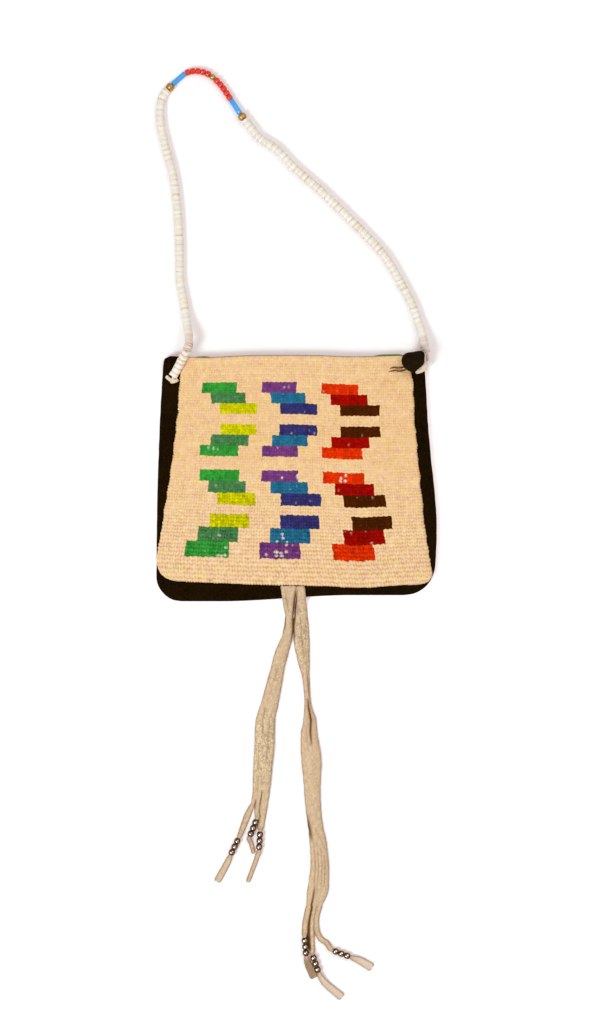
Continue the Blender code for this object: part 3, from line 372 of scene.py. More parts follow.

# Each tail, in millimetres below the pouch's edge and along x.
# root: its left and right edge at the husk panel
# stem: its places below the pouch's edge, each with its left and right edge
# slits: the cuts between the strands, as parts of its width
# widths: the strands' before their beads
# strands: each one's points before its beads, the beads' line, the points after them, and its end's width
# tones: how much painted shade darkens the strands past their beads, and how pale they are where it is below
# 0
# folds: start and end, where they run there as parts of the width, width and depth, which is below 0 in a
#     ridge, and how dark their painted shade is
# crumple: start and end of a stretch, and how crumpled it is
# flap: how far the brown underside shows beside the middle strand
TAIL_LEFT = {
    "root": (-14.3, -0.5),
    "stem": (
        (16.6, -9.7, -3.0), (32.8, -12.2, -3.6), (48.1, -18.5, -7.3), (64.3, -23.0, -11.3),
        (80.5, -27.5, -14.1), (96.7, -32.2, -16.9), (109.3, -36.2, -19.4), (132.7, -37.4, -20.3),
        (155.2, -38.6, -22.4), (175.9, -39.3, -24.5), (184.9, -41.0, -25.7),
    ),
    "slits": (0.25, 0.54),
    "widths": (5.8, 4.3, 6.0),
    "strands": (
        (((-44.1, 195.6),), ((-53.1, 218.2), (-58.2, 228.9)), ((-62.5, 238.9), (-71.5, 255.0)), 6.3),
        (((-35.6, 192.5),), ((-36.7, 201.3), (-41.2, 212.3)), ((-41.0, 220.5), (-38.6, 230.0)), 3.2),
        (((-30.6, 195.6), (-32.3, 206.0)), ((-32.8, 213.0), (-33.5, 223.3)),
         ((-35.4, 233.0), (-38.3, 241.1), (-43.8, 255.6)), 3.7),
    ),
    "tones": (-0.2, 0.15, -0.1),
    "folds": (
        (-8.0, 42.0, 0.95, 1.00, 1.1, 0.9, 1.0), (14.0, 30.0, 0.05, 0.10, 0.6, 0.5, 0.7),
        (-9.0, 14.0, 0.25, 0.40, 1.2, 0.8, 0.2), (172.0, 196.0, 0.54, 0.54, 0.7, 0.6, 0.8),
        (180.0, 196.0, 0.25, 0.25, 0.7, 0.6, 0.8), (60.0, 92.0, 0.55, 0.35, 1.0, 0.7, 0.15),
        (96.0, 128.0, 0.30, 0.45, 0.8, 0.8, 0.3), (104.0, 150.0, 0.72, 0.66, 0.8, 0.8, 0.3),
        (140.0, 178.0, 0.22, 0.30, 0.9, 0.6, 0.15),
    ),
    "crumple": ((-14.0, 42.0, 0.7), (34.0, 104.0, 0.6), (86.0, 182.0, 1.0)),
    "flap": 0.0,
}

TAIL_RIGHT = {
    "root": (0.0, 7.2),
    "stem": (
        (24.7, -2.5, 10.3), (40.0, -2.0, 11.2), (56.2, 1.3, 11.2), (72.4, 5.6, 11.2), (88.6, 7.5, 11.9),
        (99.4, 7.6, 13.4), (110.2, 6.7, 17.2), (122.8, 4.3, 18.5), (147.0, 4.8, 22.0), (166.0, 6.7, 21.3),
        (184.0, 8.0, 21.3), (202.0, 9.9, 22.9), (221.0, 12.2, 26.6), (240.7, 13.0, 28.7),
        (254.2, 11.5, 28.8), (265.9, 9.6, 28.0), (276.7, 8.8, 23.4),
    ),
    "slits": (0.33, 0.66),
    "widths": (5.0, 5.2, 4.8),
    "strands": (
        (((8.1, 291.9), (7.2, 302.5)), ((7.5, 308.4), (8.4, 320.1)), ((10.8, 331.0), (16.2, 342.4)), 7.2),
        (((13.4, 291.9), (13.3, 306.0), (13.9, 316.0)), ((15.2, 323.5), (19.2, 335.4)),
         ((25.6, 347.0), (41.0, 360.0)), 7.2),
        (((17.9, 288.5), (18.2, 299.5), (21.4, 307.0), (27.4, 311.5)), ((34.5, 318.3), (46.2, 322.7)),
         ((57.2, 327.0), (67.8, 333.4)), 7.8),
    ),
    "tones": (0.55, -0.7, -0.8),
    "folds": (
        (-8.0, 44.0, 0.10, 0.00, 1.1, 0.9, 1.0), (8.0, 60.0, 0.45, 0.60, 0.9, 0.8, 0.3),
        (20.0, 66.0, 0.80, 0.75, 0.7, 0.6, 0.2), (90.0, 134.0, 0.56, 0.60, 1.15, 1.6, 1.0),
        (62.0, 94.0, 0.70, 0.80, 0.6, 0.6, 0.5), (104.0, 140.0, 0.30, 0.40, 0.8, 0.6, 0.15),
        (194.0, 220.0, 0.00, 0.14, 1.9, 0.8, 0.65), (206.0, 230.0, 0.30, 0.86, 1.2, -1.2, 0.0),
        (212.0, 268.0, 0.22, 0.30, 0.7, 0.7, 0.3), (218.0, 272.0, 0.42, 0.46, 0.6, 0.6, 0.3),
        (222.0, 266.0, 0.62, 0.64, 0.7, 0.6, 0.25), (230.0, 262.0, 0.80, 0.78, 0.6, 0.5, 0.3),
        (258.0, 296.0, 0.33, 0.33, 0.9, 0.7, 0.9),
    ),
    "crumple": ((-10.0, 76.0, 1.0), (120.0, 215.0, 0.35), (205.0, 290.0, 0.45)),
    "flap": 2.0,
}


def lerp(a, b, t):
    return a + (b - a) * t


def share(t, start, end):
    """0 before start, 1 past end, and an even rise between them, for numbers and arrays."""
    return np.clip((t - start) / (end - start), 0.0, 1.0)


def ease(t, start, end):
    """0 before start, 1 past end, and a smooth rise between them."""
    u = share(t, start, end)
    return u * u * (3 - 2 * u)


def hump(x, at, width, power=2):
    """1 at a place, and a fall to 0 on both sides of it."""
    return np.exp(-((x - at) / width) ** power)


def quarter(e, width):
    """Height, as a part of 1, of a quarter ellipse at the distance e from its edge."""
    u = 1 - share(e, 0.0, width)
    return np.sqrt(1 - u * u)


def lengths_to(points):
    """The length of a line up to each of its points."""
    found = [0.0]
    for a, b in zip(points, points[1:]):
        found.append(found[-1] + (b - a).length)
    return found


class Path:
    """A smooth curve through the points of a route, measured along its length."""

    SAMPLES = 14

    def __init__(self, route):
        knots = [Vector(point) for point in route]
        self.points = [knots[0]]
        for i in range(len(knots) - 1):
            self.points += self.span(knots, i)
        self.lengths = lengths_to(self.points)
        self.length = self.lengths[-1]

    def span(self, knots, i):
        a, b = knots[i:i + 2]
        before = knots[max(i - 1, 0)]
        after = knots[min(i + 2, len(knots) - 1)]
        chord = (b - a).length
        leave = (b - before) * (chord / (chord + (a - before).length))
        arrive = (after - a) * (chord / (chord + (after - b).length))
        found = []
        for k in range(1, self.SAMPLES + 1):
            t = k / self.SAMPLES
            found.append(a * (2 * t ** 3 - 3 * t ** 2 + 1) + leave * (t ** 3 - 2 * t ** 2 + t)
                         + b * (3 * t ** 2 - 2 * t ** 3) + arrive * (t ** 3 - t ** 2))
        return found

    def at(self, distance):
        distance = min(max(distance, 0.0), self.length)
        i = max(bisect_left(self.lengths, distance) - 1, 0)
        part = self.lengths[i + 1] - self.lengths[i]
        return self.points[i].lerp(self.points[i + 1], (distance - self.lengths[i]) / part)

    def even(self, count):
        return [self.at(self.length * k / (count - 1)) for k in range(count)]


# Meshes and curves

def add_object(name, data):
    item = bpy.data.objects.new(name, data)
    bpy.context.scene.collection.objects.link(item)
    return item


def add_piece(name, data, material):
    """Puts a mesh or a curve into the scene as a piece that rides on the bag."""
    data.materials.append(material)
    item = add_object(name, data)
    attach(item, "root")
    return item


def add_mesh(name, vertices, faces, material):
    mesh = bpy.data.meshes.new(name)
    mesh.from_pydata(vertices, [], faces)
    mesh.shade_smooth()
    return add_piece(name, mesh, material)


def add_rod(name, points, diameter, material, radii):
    """A round rod along a line of points, whose radii are parts of its own."""
    curve = bpy.data.curves.new(name, "CURVE")
    curve.dimensions = "3D"
    curve.bevel_depth = diameter / 2
    curve.bevel_resolution = 4
    curve.use_fill_caps = True
    spline = curve.splines.new("POLY")
    spline.points.add(len(points) - 1)
    for made, point, radius in zip(spline.points, points, radii):
        made.co = (*point, 1.0)
        made.radius = radius
    spline.use_smooth = True
    return add_piece(name, curve, material)


def stands_for(item, slot, *nodes):
    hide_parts(*nodes)


def add_solidify(item, thickness, offset):
    solidify = item.modifiers.new("thickness", "SOLIDIFY")
    solidify.thickness = thickness
    solidify.offset = offset
    solidify.use_even_offset = True


def add_cloth(name, vertices, faces, material, thickness):
    """A sheet whose points that fall on each other are joined, given its thickness inwards."""
    item = add_mesh(name, vertices, faces, material)
    bm = bmesh.new()
    bm.from_mesh(item.data)
    bmesh.ops.remove_doubles(bm, verts=bm.verts, dist=JOIN_DISTANCE)
    bm.to_mesh(item.data)
    bm.free()
    add_solidify(item, thickness, -1)
    return item


def paint(mesh, name, values):
    """Gives each point of a mesh a number."""
    layer = mesh.attributes.new(name, "FLOAT", "POINT")
    layer.data.foreach_set("value", np.asarray(values, np.float32))


def paint_faces(mesh, name, colors):
    """Gives each face of a mesh a colour, on all its corners."""
    layer = mesh.attributes.new(name, "FLOAT_COLOR", "CORNER")
    sizes = np.zeros(len(mesh.polygons), np.int32)
    mesh.polygons.foreach_get("loop_total", sizes)
    rows = np.ones((len(mesh.polygons), 4), np.float32)
    rows[:, :3] = colors
    layer.data.foreach_set("color", np.repeat(rows, sizes, axis=0).ravel())


def grid_points(x, y, z):
    return np.stack([x, y, z], axis=-1).reshape(-1, 3).tolist()


def grid_quads(rows, columns, up=True):
    """Quads of a grid of points, row by row, facing up where x grows along a row and y falls by row."""
    starts = [r * columns + c for r in range(rows - 1) for c in range(columns - 1)]
    faces = [(k, k + columns, k + columns + 1, k + 1) for k in starts]
    return faces if up else [face[::-1] for face in faces]


def tube_quads(rows, columns, closed):
    """Quads round a tube of points, ring by ring, and from the last ring to the first if it is closed."""
    faces = []
    for r in range(rows if closed else rows - 1):
        low = [r * columns + c for c in range(columns)]
        high = [(r + 1) % rows * columns + c for c in range(columns)]
        faces += zip(low, low[1:] + low[:1], high[1:] + high[:1], high)
    return faces


def cross_direction(way):
    """A level direction across a line's way, or +X where the way is upright."""
    across = way.cross(UP)
    return across.normalized() if across.length >= 0.1 else Vector((1.0, 0.0, 0.0))


class Parts:
    """Points and faces of one mesh, to which parts are added."""

    def __init__(self):
        self.vertices = []
        self.faces = []

    def add(self, vertices, faces):
        start = len(self.vertices)
        self.faces += [tuple(start + k for k in face) for face in faces]
        self.vertices += vertices


# Materials

class Nodes:
    """A material's node tree, put together step by step."""

    def __init__(self, material, empty=False):
        material.use_nodes = True
        self.tree = material.node_tree
        if empty:
            self.tree.nodes.clear()
        self.place = self.add("ShaderNodeTexCoord").outputs["Object"]

    def add(self, kind, inputs=None, **settings):
        made = self.tree.nodes.new(kind)
        for key, value in settings.items():
            setattr(made, key, value)
        self.fill(made, inputs or {})
        return made

    def fill(self, node, inputs):
        for key, value in inputs.items():
            if isinstance(value, bpy.types.NodeSocket):
                self.tree.links.new(value, node.inputs[key])
            else:
                node.inputs[key].default_value = value

    def math(self, operation, a, b=0.0):
        return self.add("ShaderNodeMath", {0: a, 1: b}, operation=operation).outputs[0]

    def range(self, value, low, high, to_low=0.0, to_high=1.0):
        return self.add("ShaderNodeMapRange", {
            "Value": value, "From Min": low, "From Max": high, "To Min": to_low, "To Max": to_high,
        }).outputs[0]

    def mix(self, factor, a, b, blend="MIX"):
        a, b = (c if isinstance(c, bpy.types.NodeSocket) else (*c, 1.0) for c in (a, b))
        made = self.add("ShaderNodeMix", {0: factor, 6: a, 7: b}, data_type="RGBA", blend_type=blend)
        return made.outputs[2]


class Surface(Nodes):
    """A material with the usual shader, its textures and its bump."""

    def __init__(self, name, color, roughness, metallic=0.0, specular=0.5):
        self.material = bpy.data.materials.new(name)
        super().__init__(self.material)
        self.material.diffuse_color = (*color, 1.0)
        self.shader = self.tree.nodes["Principled BSDF"]
        self.set({"Base Color": (*color, 1.0), "Roughness": roughness, "Metallic": metallic,
                  "Specular IOR Level": specular})

    def set(self, inputs):
        self.fill(self.shader, inputs)

    def attribute(self, name, output="Fac"):
        return self.add("ShaderNodeAttribute", attribute_name=name).outputs[output]

    def scaled(self, size, stretch):
        scale = tuple(1 / (size * s) for s in stretch)
        return self.add("ShaderNodeMapping", {"Vector": self.place, "Scale": scale}).outputs[0]

    def noise(self, size, detail=2.0, stretch=(1.0, 1.0, 1.0), roughness=0.5, distortion=0.0):
        """Noise whose lumps measure about size, in metres, stretched along each axis."""
        return self.add("ShaderNodeTexNoise", {
            "Vector": self.scaled(size, stretch), "Scale": 1.0, "Detail": detail,
            "Roughness": roughness, "Distortion": distortion,
        }).outputs["Fac"]

    def cells(self, size):
        vector = self.scaled(size, (1.0, 1.0, 1.0))
        return self.add("ShaderNodeTexVoronoi", {"Vector": vector, "Scale": 1.0}).outputs["Distance"]

    def waves(self, size, direction, distortion):
        return self.add("ShaderNodeTexWave", {
            "Vector": self.place, "Scale": 1 / size / math.tau * math.pi,
            "Distortion": distortion, "Detail": 1.0,
        }, wave_type="BANDS", bands_direction=direction).outputs["Fac"]

    def blend(self, value, low, high, a, b, most=1.0):
        """Colour a where a texture is under low, and towards b where it is over high."""
        return self.mix(self.range(value, low, high, 0.0, most), a, b)

    def tinted(self, color, tint):
        return self.mix(1.0, color, tint, "MULTIPLY")

    def bump(self, *layers):
        """Heights with their distances in metres, laid over each other."""
        normal = {}
        for height, distance in layers:
            inputs = {"Height": height, "Distance": distance, "Strength": 1.0, **normal}
            normal = {"Normal": self.add("ShaderNodeBump", inputs).outputs["Normal"]}
        self.set(normal)


def leather_material():
    s = Surface("dark_leather", (0.011, 0.0055, 0.0008), 0.9, specular=0.022)
    tone = s.blend(s.noise(22 * MM, 3.0), 0.35, 0.70, (0.0045, 0.0021, 0.0001), (0.0112, 0.0056, 0.0004))
    grain = s.noise(2.4 * MM, 4.0, roughness=0.7)
    s.set({"Base Color": s.blend(grain, 0.40, 0.75, tone, (0.021, 0.0098, 0.0014)),
           "Sheen Weight": 0.045, "Sheen Roughness": 0.5, "Sheen Tint": (0.35, 0.22, 0.08, 1.0)})
    nap = s.noise(0.5 * MM, 4.0)
    s.bump((s.noise(6 * MM, 3.0), 0.5 * MM), (s.cells(0.7 * MM), 0.08 * MM), (nap, 0.10 * MM))
    return s.material


def lining_material():
    s = Surface("green_cloth", (0.20, 0.42, 0.16), 0.9, specular=0.1)
    threads = s.math("MULTIPLY", s.waves(0.55 * MM, "X", 0.6), s.waves(0.55 * MM, "Y", 0.6))
    s.set({"Base Color": s.mix(threads, (0.20, 0.42, 0.17), (0.36, 0.60, 0.31))})
    s.bump((s.noise(9 * MM, 2.0), 0.4 * MM), (threads, 0.12 * MM))
    return s.material


def husk_material():
    s = Surface("corn_husk", NATURAL, 0.7, specular=0.02)
    stitch = s.attribute("stitch", "Color")
    dyed = s.attribute("dyed")
    fibre = s.noise(0.34 * MM, 3.0, stretch=(9.0, 1.0, 1.0), distortion=0.4)
    fine = s.noise(0.16 * MM, 2.0, stretch=(14.0, 1.0, 1.0))
    cloud = s.noise(34 * MM, 3.0, stretch=(2.2, 0.8, 1.0))
    grain = s.noise(1.1 * MM, 2.0, stretch=(0.8, 2.0, 1.0), roughness=0.6)
    patch = s.noise(6 * MM, 2.0, stretch=(1.4, 0.9, 1.0))

    def between(texture, color, dark, light):
        return s.blend(texture, 0.30, 0.70, s.tinted(color, dark), s.tinted(color, light))

    color = s.blend(fibre, 0.25, 0.75, s.tinted(stitch, (0.94, 0.91, 0.87)), stitch)
    color = s.blend(cloud, 0.40, 0.75, color, s.tinted(color, (1.0, 0.92, 0.84)), 0.25)
    color = s.mix(dyed, between(grain, color, (0.97, 0.94, 0.90), (1.02, 1.05, 1.09)),
                  between(grain, color, (0.80, 0.80, 0.80), (1.21, 1.21, 1.21)))
    color = between(patch, color, (1.0, 0.95, 1.06), (1.0, 1.04, 0.90))
    # painted shade in the grooves between rows and stitches, darker in the dyed bars
    shade = s.mix(dyed, s.tinted(color, (0.54, 0.32, 0.19)), s.tinted(color, (0.25, 0.25, 0.25)))
    depth = s.math("MULTIPLY", s.attribute("groove_shade"), s.range(dyed, 0.0, 1.0, 0.68, 0.85))
    s.set({"Base Color": s.mix(depth, color, shade)})
    s.bump((fibre, 0.06 * MM), (fine, 0.03 * MM))
    return s.material


def shell_material():
    s = Surface("shell", (0.84, 0.80, 0.72), 0.34, specular=0.45)
    streak = s.noise(1.1 * MM, 3.0, distortion=0.8)
    s.set({"Base Color": s.blend(streak, 0.35, 0.70, s.attribute("tint", "Color"), (0.86, 0.84, 0.79), 0.45),
           "Subsurface Weight": 0.08, "Subsurface Radius": (0.002, 0.0016, 0.0012)})
    s.bump((s.noise(0.5 * MM, 3.0), 0.04 * MM))
    return s.material


def brass_material():
    light = (0.66, 0.43, 0.16)
    s = Surface("brass", light, 0.40, metallic=1.0)
    tarnish = s.noise(1.4 * MM, 4.0, roughness=0.65)
    s.set({"Base Color": s.blend(tarnish, 0.40, 0.65, light, (0.40, 0.23, 0.07)),
           "Roughness": s.range(tarnish, 0.3, 0.7, 0.40, 0.58)})
    s.bump((s.noise(0.35 * MM, 3.0), 0.02 * MM))
    return s.material


def bead_metal_material():
    s = Surface("bead_metal", (0.30, 0.24, 0.17), 0.2, metallic=1.0)
    stain = s.noise(0.9 * MM, 3.0, roughness=0.65)
    clean = s.range(stain, 0.30, 0.60, 0.15, 1.0)
    # painted highlight: the bright metal colour goes where a bead faces up, away from its ends, and the dark
    # colour on its sides and ends
    painted_highlight = s.math("MULTIPLY", s.range(s.attribute("painted_highlight"), 0.50, 0.95), clean)
    s.set({"Base Color": s.mix(painted_highlight, (0.125, 0.055, 0.014), (0.86, 0.80, 0.72)),
           "Roughness": s.range(stain, 0.3, 0.7, 0.16, 0.30)})
    return s.material


def glass_material(name, color, deep):
    s = Surface(name, color, 0.16)
    swirl = s.noise(1.6 * MM, 3.0, distortion=1.2)
    s.set({"Base Color": s.blend(swirl, 0.35, 0.70, color, deep),
           "Coat Weight": 0.25, "Coat Roughness": 0.12})
    s.bump((s.noise(1.1 * MM, 2.0), 0.03 * MM))
    return s.material


def buckskin_material():
    s = Surface("buckskin", (0.64, 0.47, 0.31), 0.92, specular=0.05)
    nap = s.noise(0.5 * MM, 4.0, roughness=0.7)
    mottle = s.noise(2.6 * MM, 3.0, stretch=(0.8, 1.3, 1.0), roughness=0.65, distortion=0.6)
    veins = s.noise(2.9 * MM, 4.0, stretch=(0.8, 1.2, 1.0), roughness=0.75, distortion=1.2)
    color = s.blend(mottle, 0.30, 0.70, (0.54, 0.375, 0.235), (0.80, 0.62, 0.42))
    color = s.blend(s.noise(16 * MM, 2.0), 0.35, 0.65, color, (0.70, 0.51, 0.33), 0.35)
    # partly the hide's own mottle, partly painted light and shade of its crinkles: bright and grey-brown
    # where it is crumpled
    worn_and_crinkle_light = s.blend(veins, 0.38, 0.62, (0.34, 0.25, 0.17), (0.96, 0.80, 0.50))
    color = s.mix(s.math("MULTIPLY", s.attribute("crumple"), 0.85), color, worn_and_crinkle_light)
    color = s.blend(nap, 0.35, 0.75, color, (0.84, 0.67, 0.46), 0.30)
    color = s.mix(s.attribute("pale"), color, (0.80, 0.66, 0.56))
    # painted shade in the folds, slits and shaded strand ends, with the brown of the edges, darkens the hide
    color = s.mix(s.attribute("brown_and_shade"), color, (0.15, 0.058, 0.012))
    s.set({"Base Color": color, "Sheen Weight": 0.10, "Sheen Roughness": 0.5})
    s.bump((mottle, 0.45 * MM), (veins, 0.50 * MM), (nap, 0.15 * MM))
    return s.material


def button_material():
    s = Surface("black_leather", (0.012, 0.006, 0.001), 0.6, specular=0.04)
    wear = s.noise(4 * MM, 3.0)
    s.set({"Base Color": s.blend(wear, 0.4, 0.7, (0.010, 0.0050, 0.0008), (0.020, 0.0100, 0.0022)),
           "Roughness": s.range(wear, 0.3, 0.7, 0.50, 0.78)})
    s.bump((s.noise(2.5 * MM, 3.0), 0.35 * MM), (s.cells(0.8 * MM), 0.10 * MM))
    return s.material


def thread_material(name, light, dark, size):
    """Twisted thread or soft hide, with a paler hide where the mesh is painted pale."""
    s = Surface(name, light, 0.8, specular=0.3)
    ply = s.noise(size, 2.0, stretch=(1.6, 1.0, 1.0))
    color = s.blend(ply, 0.35, 0.65, light, dark)
    s.set({"Base Color": s.mix(s.attribute("pale"), color, (0.93, 0.87, 0.85))})
    s.bump((ply, 0.12 * MM))
    return s.material


# Pouch

def bag_side_x(side, y):
    part = share(BAG_TOP_Y - y, 0.0, BAG_HEIGHT)
    half = lerp(BAG_TOP_WIDTH, BAG_BOTTOM_WIDTH, part ** BAG_SIDE_CURVE) / 2
    amount, start, end, skew, power = BAG_BULGES[side]
    half = half + amount * np.abs(np.sin(math.pi * share(part, start, end) ** skew)) ** power
    return BAG_TOP_SHIFT * (1 - part) + side * half


def bag_bottom_y(x):
    rise, start, end, middle = BAG_BOTTOM_STEP
    return BAG_BOTTOM_Y + rise * (ease(x, start, end) - middle)


def mouth_dip(x, y):
    """How far the pouch's slack mouth hangs below its line."""
    dip = sum(depth * hump(x, at, width) for at, width, depth in MOUTH_DIPS)
    return dip * (1 - share(BAG_TOP_Y - y, 0.0, BAG_HEIGHT * MOUTH_DIP_DEPTH)) ** 2


def corner_inset(distance, radius):
    """How far a round corner pulls the side in, at a distance from the edge across it."""
    d = np.clip(radius - distance, 0.0, radius)
    return radius - np.sqrt(radius ** 2 - d ** 2)


def bag_edge_distance(x, y, inset):
    """Distance from points to the pouch's side and bottom outline, moved in by inset."""
    down = y - bag_bottom_y(x) - inset
    found = down
    for side, corner in ((-1, BAG_LEFT_CORNER), (1, BAG_RIGHT_CORNER)):
        radius = corner - inset
        across = side * (bag_side_x(side, y) - x) - inset
        round_part = radius - np.hypot(radius - across, radius - down)
        found = np.minimum(found, np.where((across < radius) & (down < radius), round_part, across))
    return np.maximum(found, 0.0)


def spread(length, low, high):
    """Distances from 0 to length, close together over low and high at its two ends."""
    start = list(np.linspace(0.0, low, max(int(low / EDGE_STEP), 1) + 1)) if low else [0.0]
    end = list(np.linspace(length - high, length, max(int(high / EDGE_STEP), 1) + 1)) if high else [length]
    count = max(int((end[0] - start[-1]) / LEATHER_STEP), 2)
    return np.array(start + list(np.linspace(start[-1], end[0], count + 1))[1:-1] + end)


def pouch_grid(inset, top_y, roll, top_fine=0.0):
    """x and y of a grid over the pouch, from its top down, and each point's distance to the edge."""
    height = top_y - BAG_BOTTOM_Y - inset
    ups = spread(height, roll * 1.5, top_fine)[::-1]
    width = BAG_BOTTOM_WIDTH - 2 * inset
    across = spread(width, roll * 1.5, roll * 1.5) / width
    middle_y = top_y - height + ups
    top_pull = corner_inset(height - ups, BAG_TOP_CORNER)
    left = bag_side_x(-1, middle_y) + inset + corner_inset(ups, BAG_LEFT_CORNER - inset) + top_pull
    right = bag_side_x(1, middle_y) - inset - corner_inset(ups, BAG_RIGHT_CORNER - inset) - top_pull
    left, right, middle_y, part = (line[:, None] for line in (left, right, middle_y, 1 - ups / height))
    x = left + (right - left) * across
    y = middle_y + part * (bag_bottom_y(x) - BAG_BOTTOM_Y)
    e = np.minimum(bag_edge_distance(x, y, inset), np.minimum(x - left, right - x))
    return x, y - mouth_dip(x, y), e


def smooth_field(x, y, size, seed):
    """Soft lumps from -1 to 1 over points."""
    place = [(a / size, b / size, seed) for a, b in zip(x.ravel(), y.ravel())]
    return np.array([noise.noise(p) for p in place]).reshape(x.shape)


def leather_panel(name, side, material):
    """One leather panel with its edge rolled to the seam. side is 1 in front, -1 at the back."""
    low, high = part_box(name)
    seam = low.z if side > 0 else high.z
    reach = high.z - low.z - SEAM_DEPTH
    x, y, e = pouch_grid(0.0, BAG_TOP_Y, EDGE_ROLL)
    z = seam + side * (SEAM_DEPTH + reach * quarter(e, EDGE_ROLL))
    if side > 0:
        z -= LEATHER_SAG * ease(e, 1.0 * MM, EDGE_ROLL) * np.abs(smooth_field(x, y, LEATHER_LUMP, 3.0))
    wander = EDGE_WANDER * smooth_field(y, x, EDGE_LUMP, 8.0) * (1 - ease(e, 0.0, 3 * EDGE_ROLL))
    x = x - np.abs(wander) * np.sign(x)
    to_seam = ((0, 1), (1, 1))
    x, y = (np.pad(line, to_seam, "edge") for line in (x, y))
    z = np.pad(z, to_seam, constant_values=seam)
    faces = grid_quads(*x.shape, side > 0)
    item = add_cloth(name + "_hide", grid_points(x, y, z), faces, material, LEATHER_THICKNESS)
    stands_for(item, "dark_leather", name)


def make_lining(material):
    """The cloth pouch inside the leather, whose edge shows a little at some places of the mouth."""
    low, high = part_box("lining")
    top = high.y
    cloth = Parts()
    for side in (1, -1):
        x, y, e = pouch_grid(LINING_INSET, top, LINING_ROLL, LINING_EDGE)
        peek = sum(size * hump(x, at, width, 4) for at, width, size in LINING_PEEKS)
        ripple = LINING_RIPPLE * smooth_field(x, y * 0, LINING_RIPPLE_SIZE, 5.0 * side)
        lift = (BAG_TOP_Y - top) + LINING_LOW + peek + ripple
        y = y + np.minimum(lift, 0.0) * ease(y, top - LINING_DRAW, top)
        z = (low.z + high.z) / 2 + side * ((high.z - low.z) / 2 * quarter(e, LINING_ROLL))
        dent = np.abs(smooth_field(x, y, LINING_LUMP, 2.0 * side))
        z -= side * LINING_SAG * dent * ease(e, 0.0, LINING_ROLL)
        cloth.add(grid_points(x, y, z), grid_quads(*x.shape, side > 0))
    item = add_cloth("lining_cloth", cloth.vertices, cloth.faces, material, LINING_THICKNESS)
    stands_for(item, "green_cloth", "lining")


# Husk panel

def husk_part(row):
    """How far down the panel a row lies, as a part of its height."""
    part = row / WEAVE_ROWS
    return (1 - ROW_GROWTH) * part + ROW_GROWTH * part ** ROW_GROWTH_POWER


def husk_sides(part):
    y = lerp(HUSK_TOP_Y, HUSK_BOTTOM_Y, part)
    left, right = (lerp(top, bottom, share(part, start, end) ** power)
                   for top, bottom, start, end, power in (HUSK_LEFT_MARGIN, HUSK_RIGHT_MARGIN))
    return bag_side_x(-1, y) + left, bag_side_x(1, y) - right, y


def husk_y(x, part):
    half = BAG_BOTTOM_WIDTH / 2
    bottom = HUSK_BOTTOM_Y + HUSK_BOTTOM_RISE * (x / half) ** 2 + HUSK_BOTTOM_SLOPE * x
    depth, at, width = HUSK_BOTTOM_SAG
    y = lerp(HUSK_TOP_Y, bottom - depth * hump(x, at, width), part)
    return y - mouth_dip(x, y)


def dye_table():
    """For each half column of each row 0, or the number of its dye from 1."""
    dyes = np.zeros((WEAVE_ROWS, 2 * WEAVE_COLUMNS), int)
    for m, first_row in enumerate(MOTIF_ROWS):
        for bar, spans in enumerate(MOTIF_BARS[m]):
            step = bar if m % 2 == 0 else BARS_IN_MOTIF - 1 - bar
            row = first_row + bar * BAR_ROWS
            for k, (start, end) in enumerate(spans):
                dyes[row:row + BAR_ROWS, start:end] = 1 + k * BARS_IN_MOTIF + step
    return dyes


def worn_share(x, y):
    """How far the dye is gone at points: 1 in the middle of a worn spot, with a ragged edge."""
    found = np.zeros_like(x)
    much_ragged, size = WORN_RAGGED
    ragged = much_ragged * smooth_field(x, y, size, 4.0)
    for at_x, at_y, wide, high, much in WORN_SPOTS:
        away = np.hypot((x / MM - at_x) / wide, (y / MM - at_y) / high)
        found = np.maximum(found, much ** 1.6 * (1 - ease(away + ragged, 0.4, 1.1)))
    return found


def stitch_colors(generator):
    """A colour for each stitch: its dye or natural husk, each a little different."""
    dyes = dye_table()
    shape = dyes.shape
    natural, pale, tan = (np.array(color) for color in (NATURAL, NATURAL_PALE, NATURAL_TAN))
    each, by_row = MOODS
    mood = generator.normal(0.0, 1.0, shape) * each + generator.normal(0.0, 1.0, shape[0])[:, None] * by_row
    to_pale, to_tan = (np.clip(mood * much, 0.0, most)[..., None] for much, most in (TO_PALE, TO_TAN))
    to_pale = to_pale + PALER_BELOW * ease(np.arange(shape[0]) / shape[0], *GROOVE_SHADE_GROWTH)[:, None, None]
    colors = natural + (pale - natural) * to_pale + (tan - natural) * to_tan
    each, by_column = DYE_SPREADS
    strength = generator.normal(0.0, each, shape) + generator.normal(0.0, by_column, shape[1])[None, :]
    for number, color in enumerate((color for motif in DYES for color in motif), 1):
        chosen = dyes == number
        colors[chosen] = (np.array(color) * np.exp(strength)[..., None])[chosen]
    return np.clip(colors, 0.0, 1.0), dyes


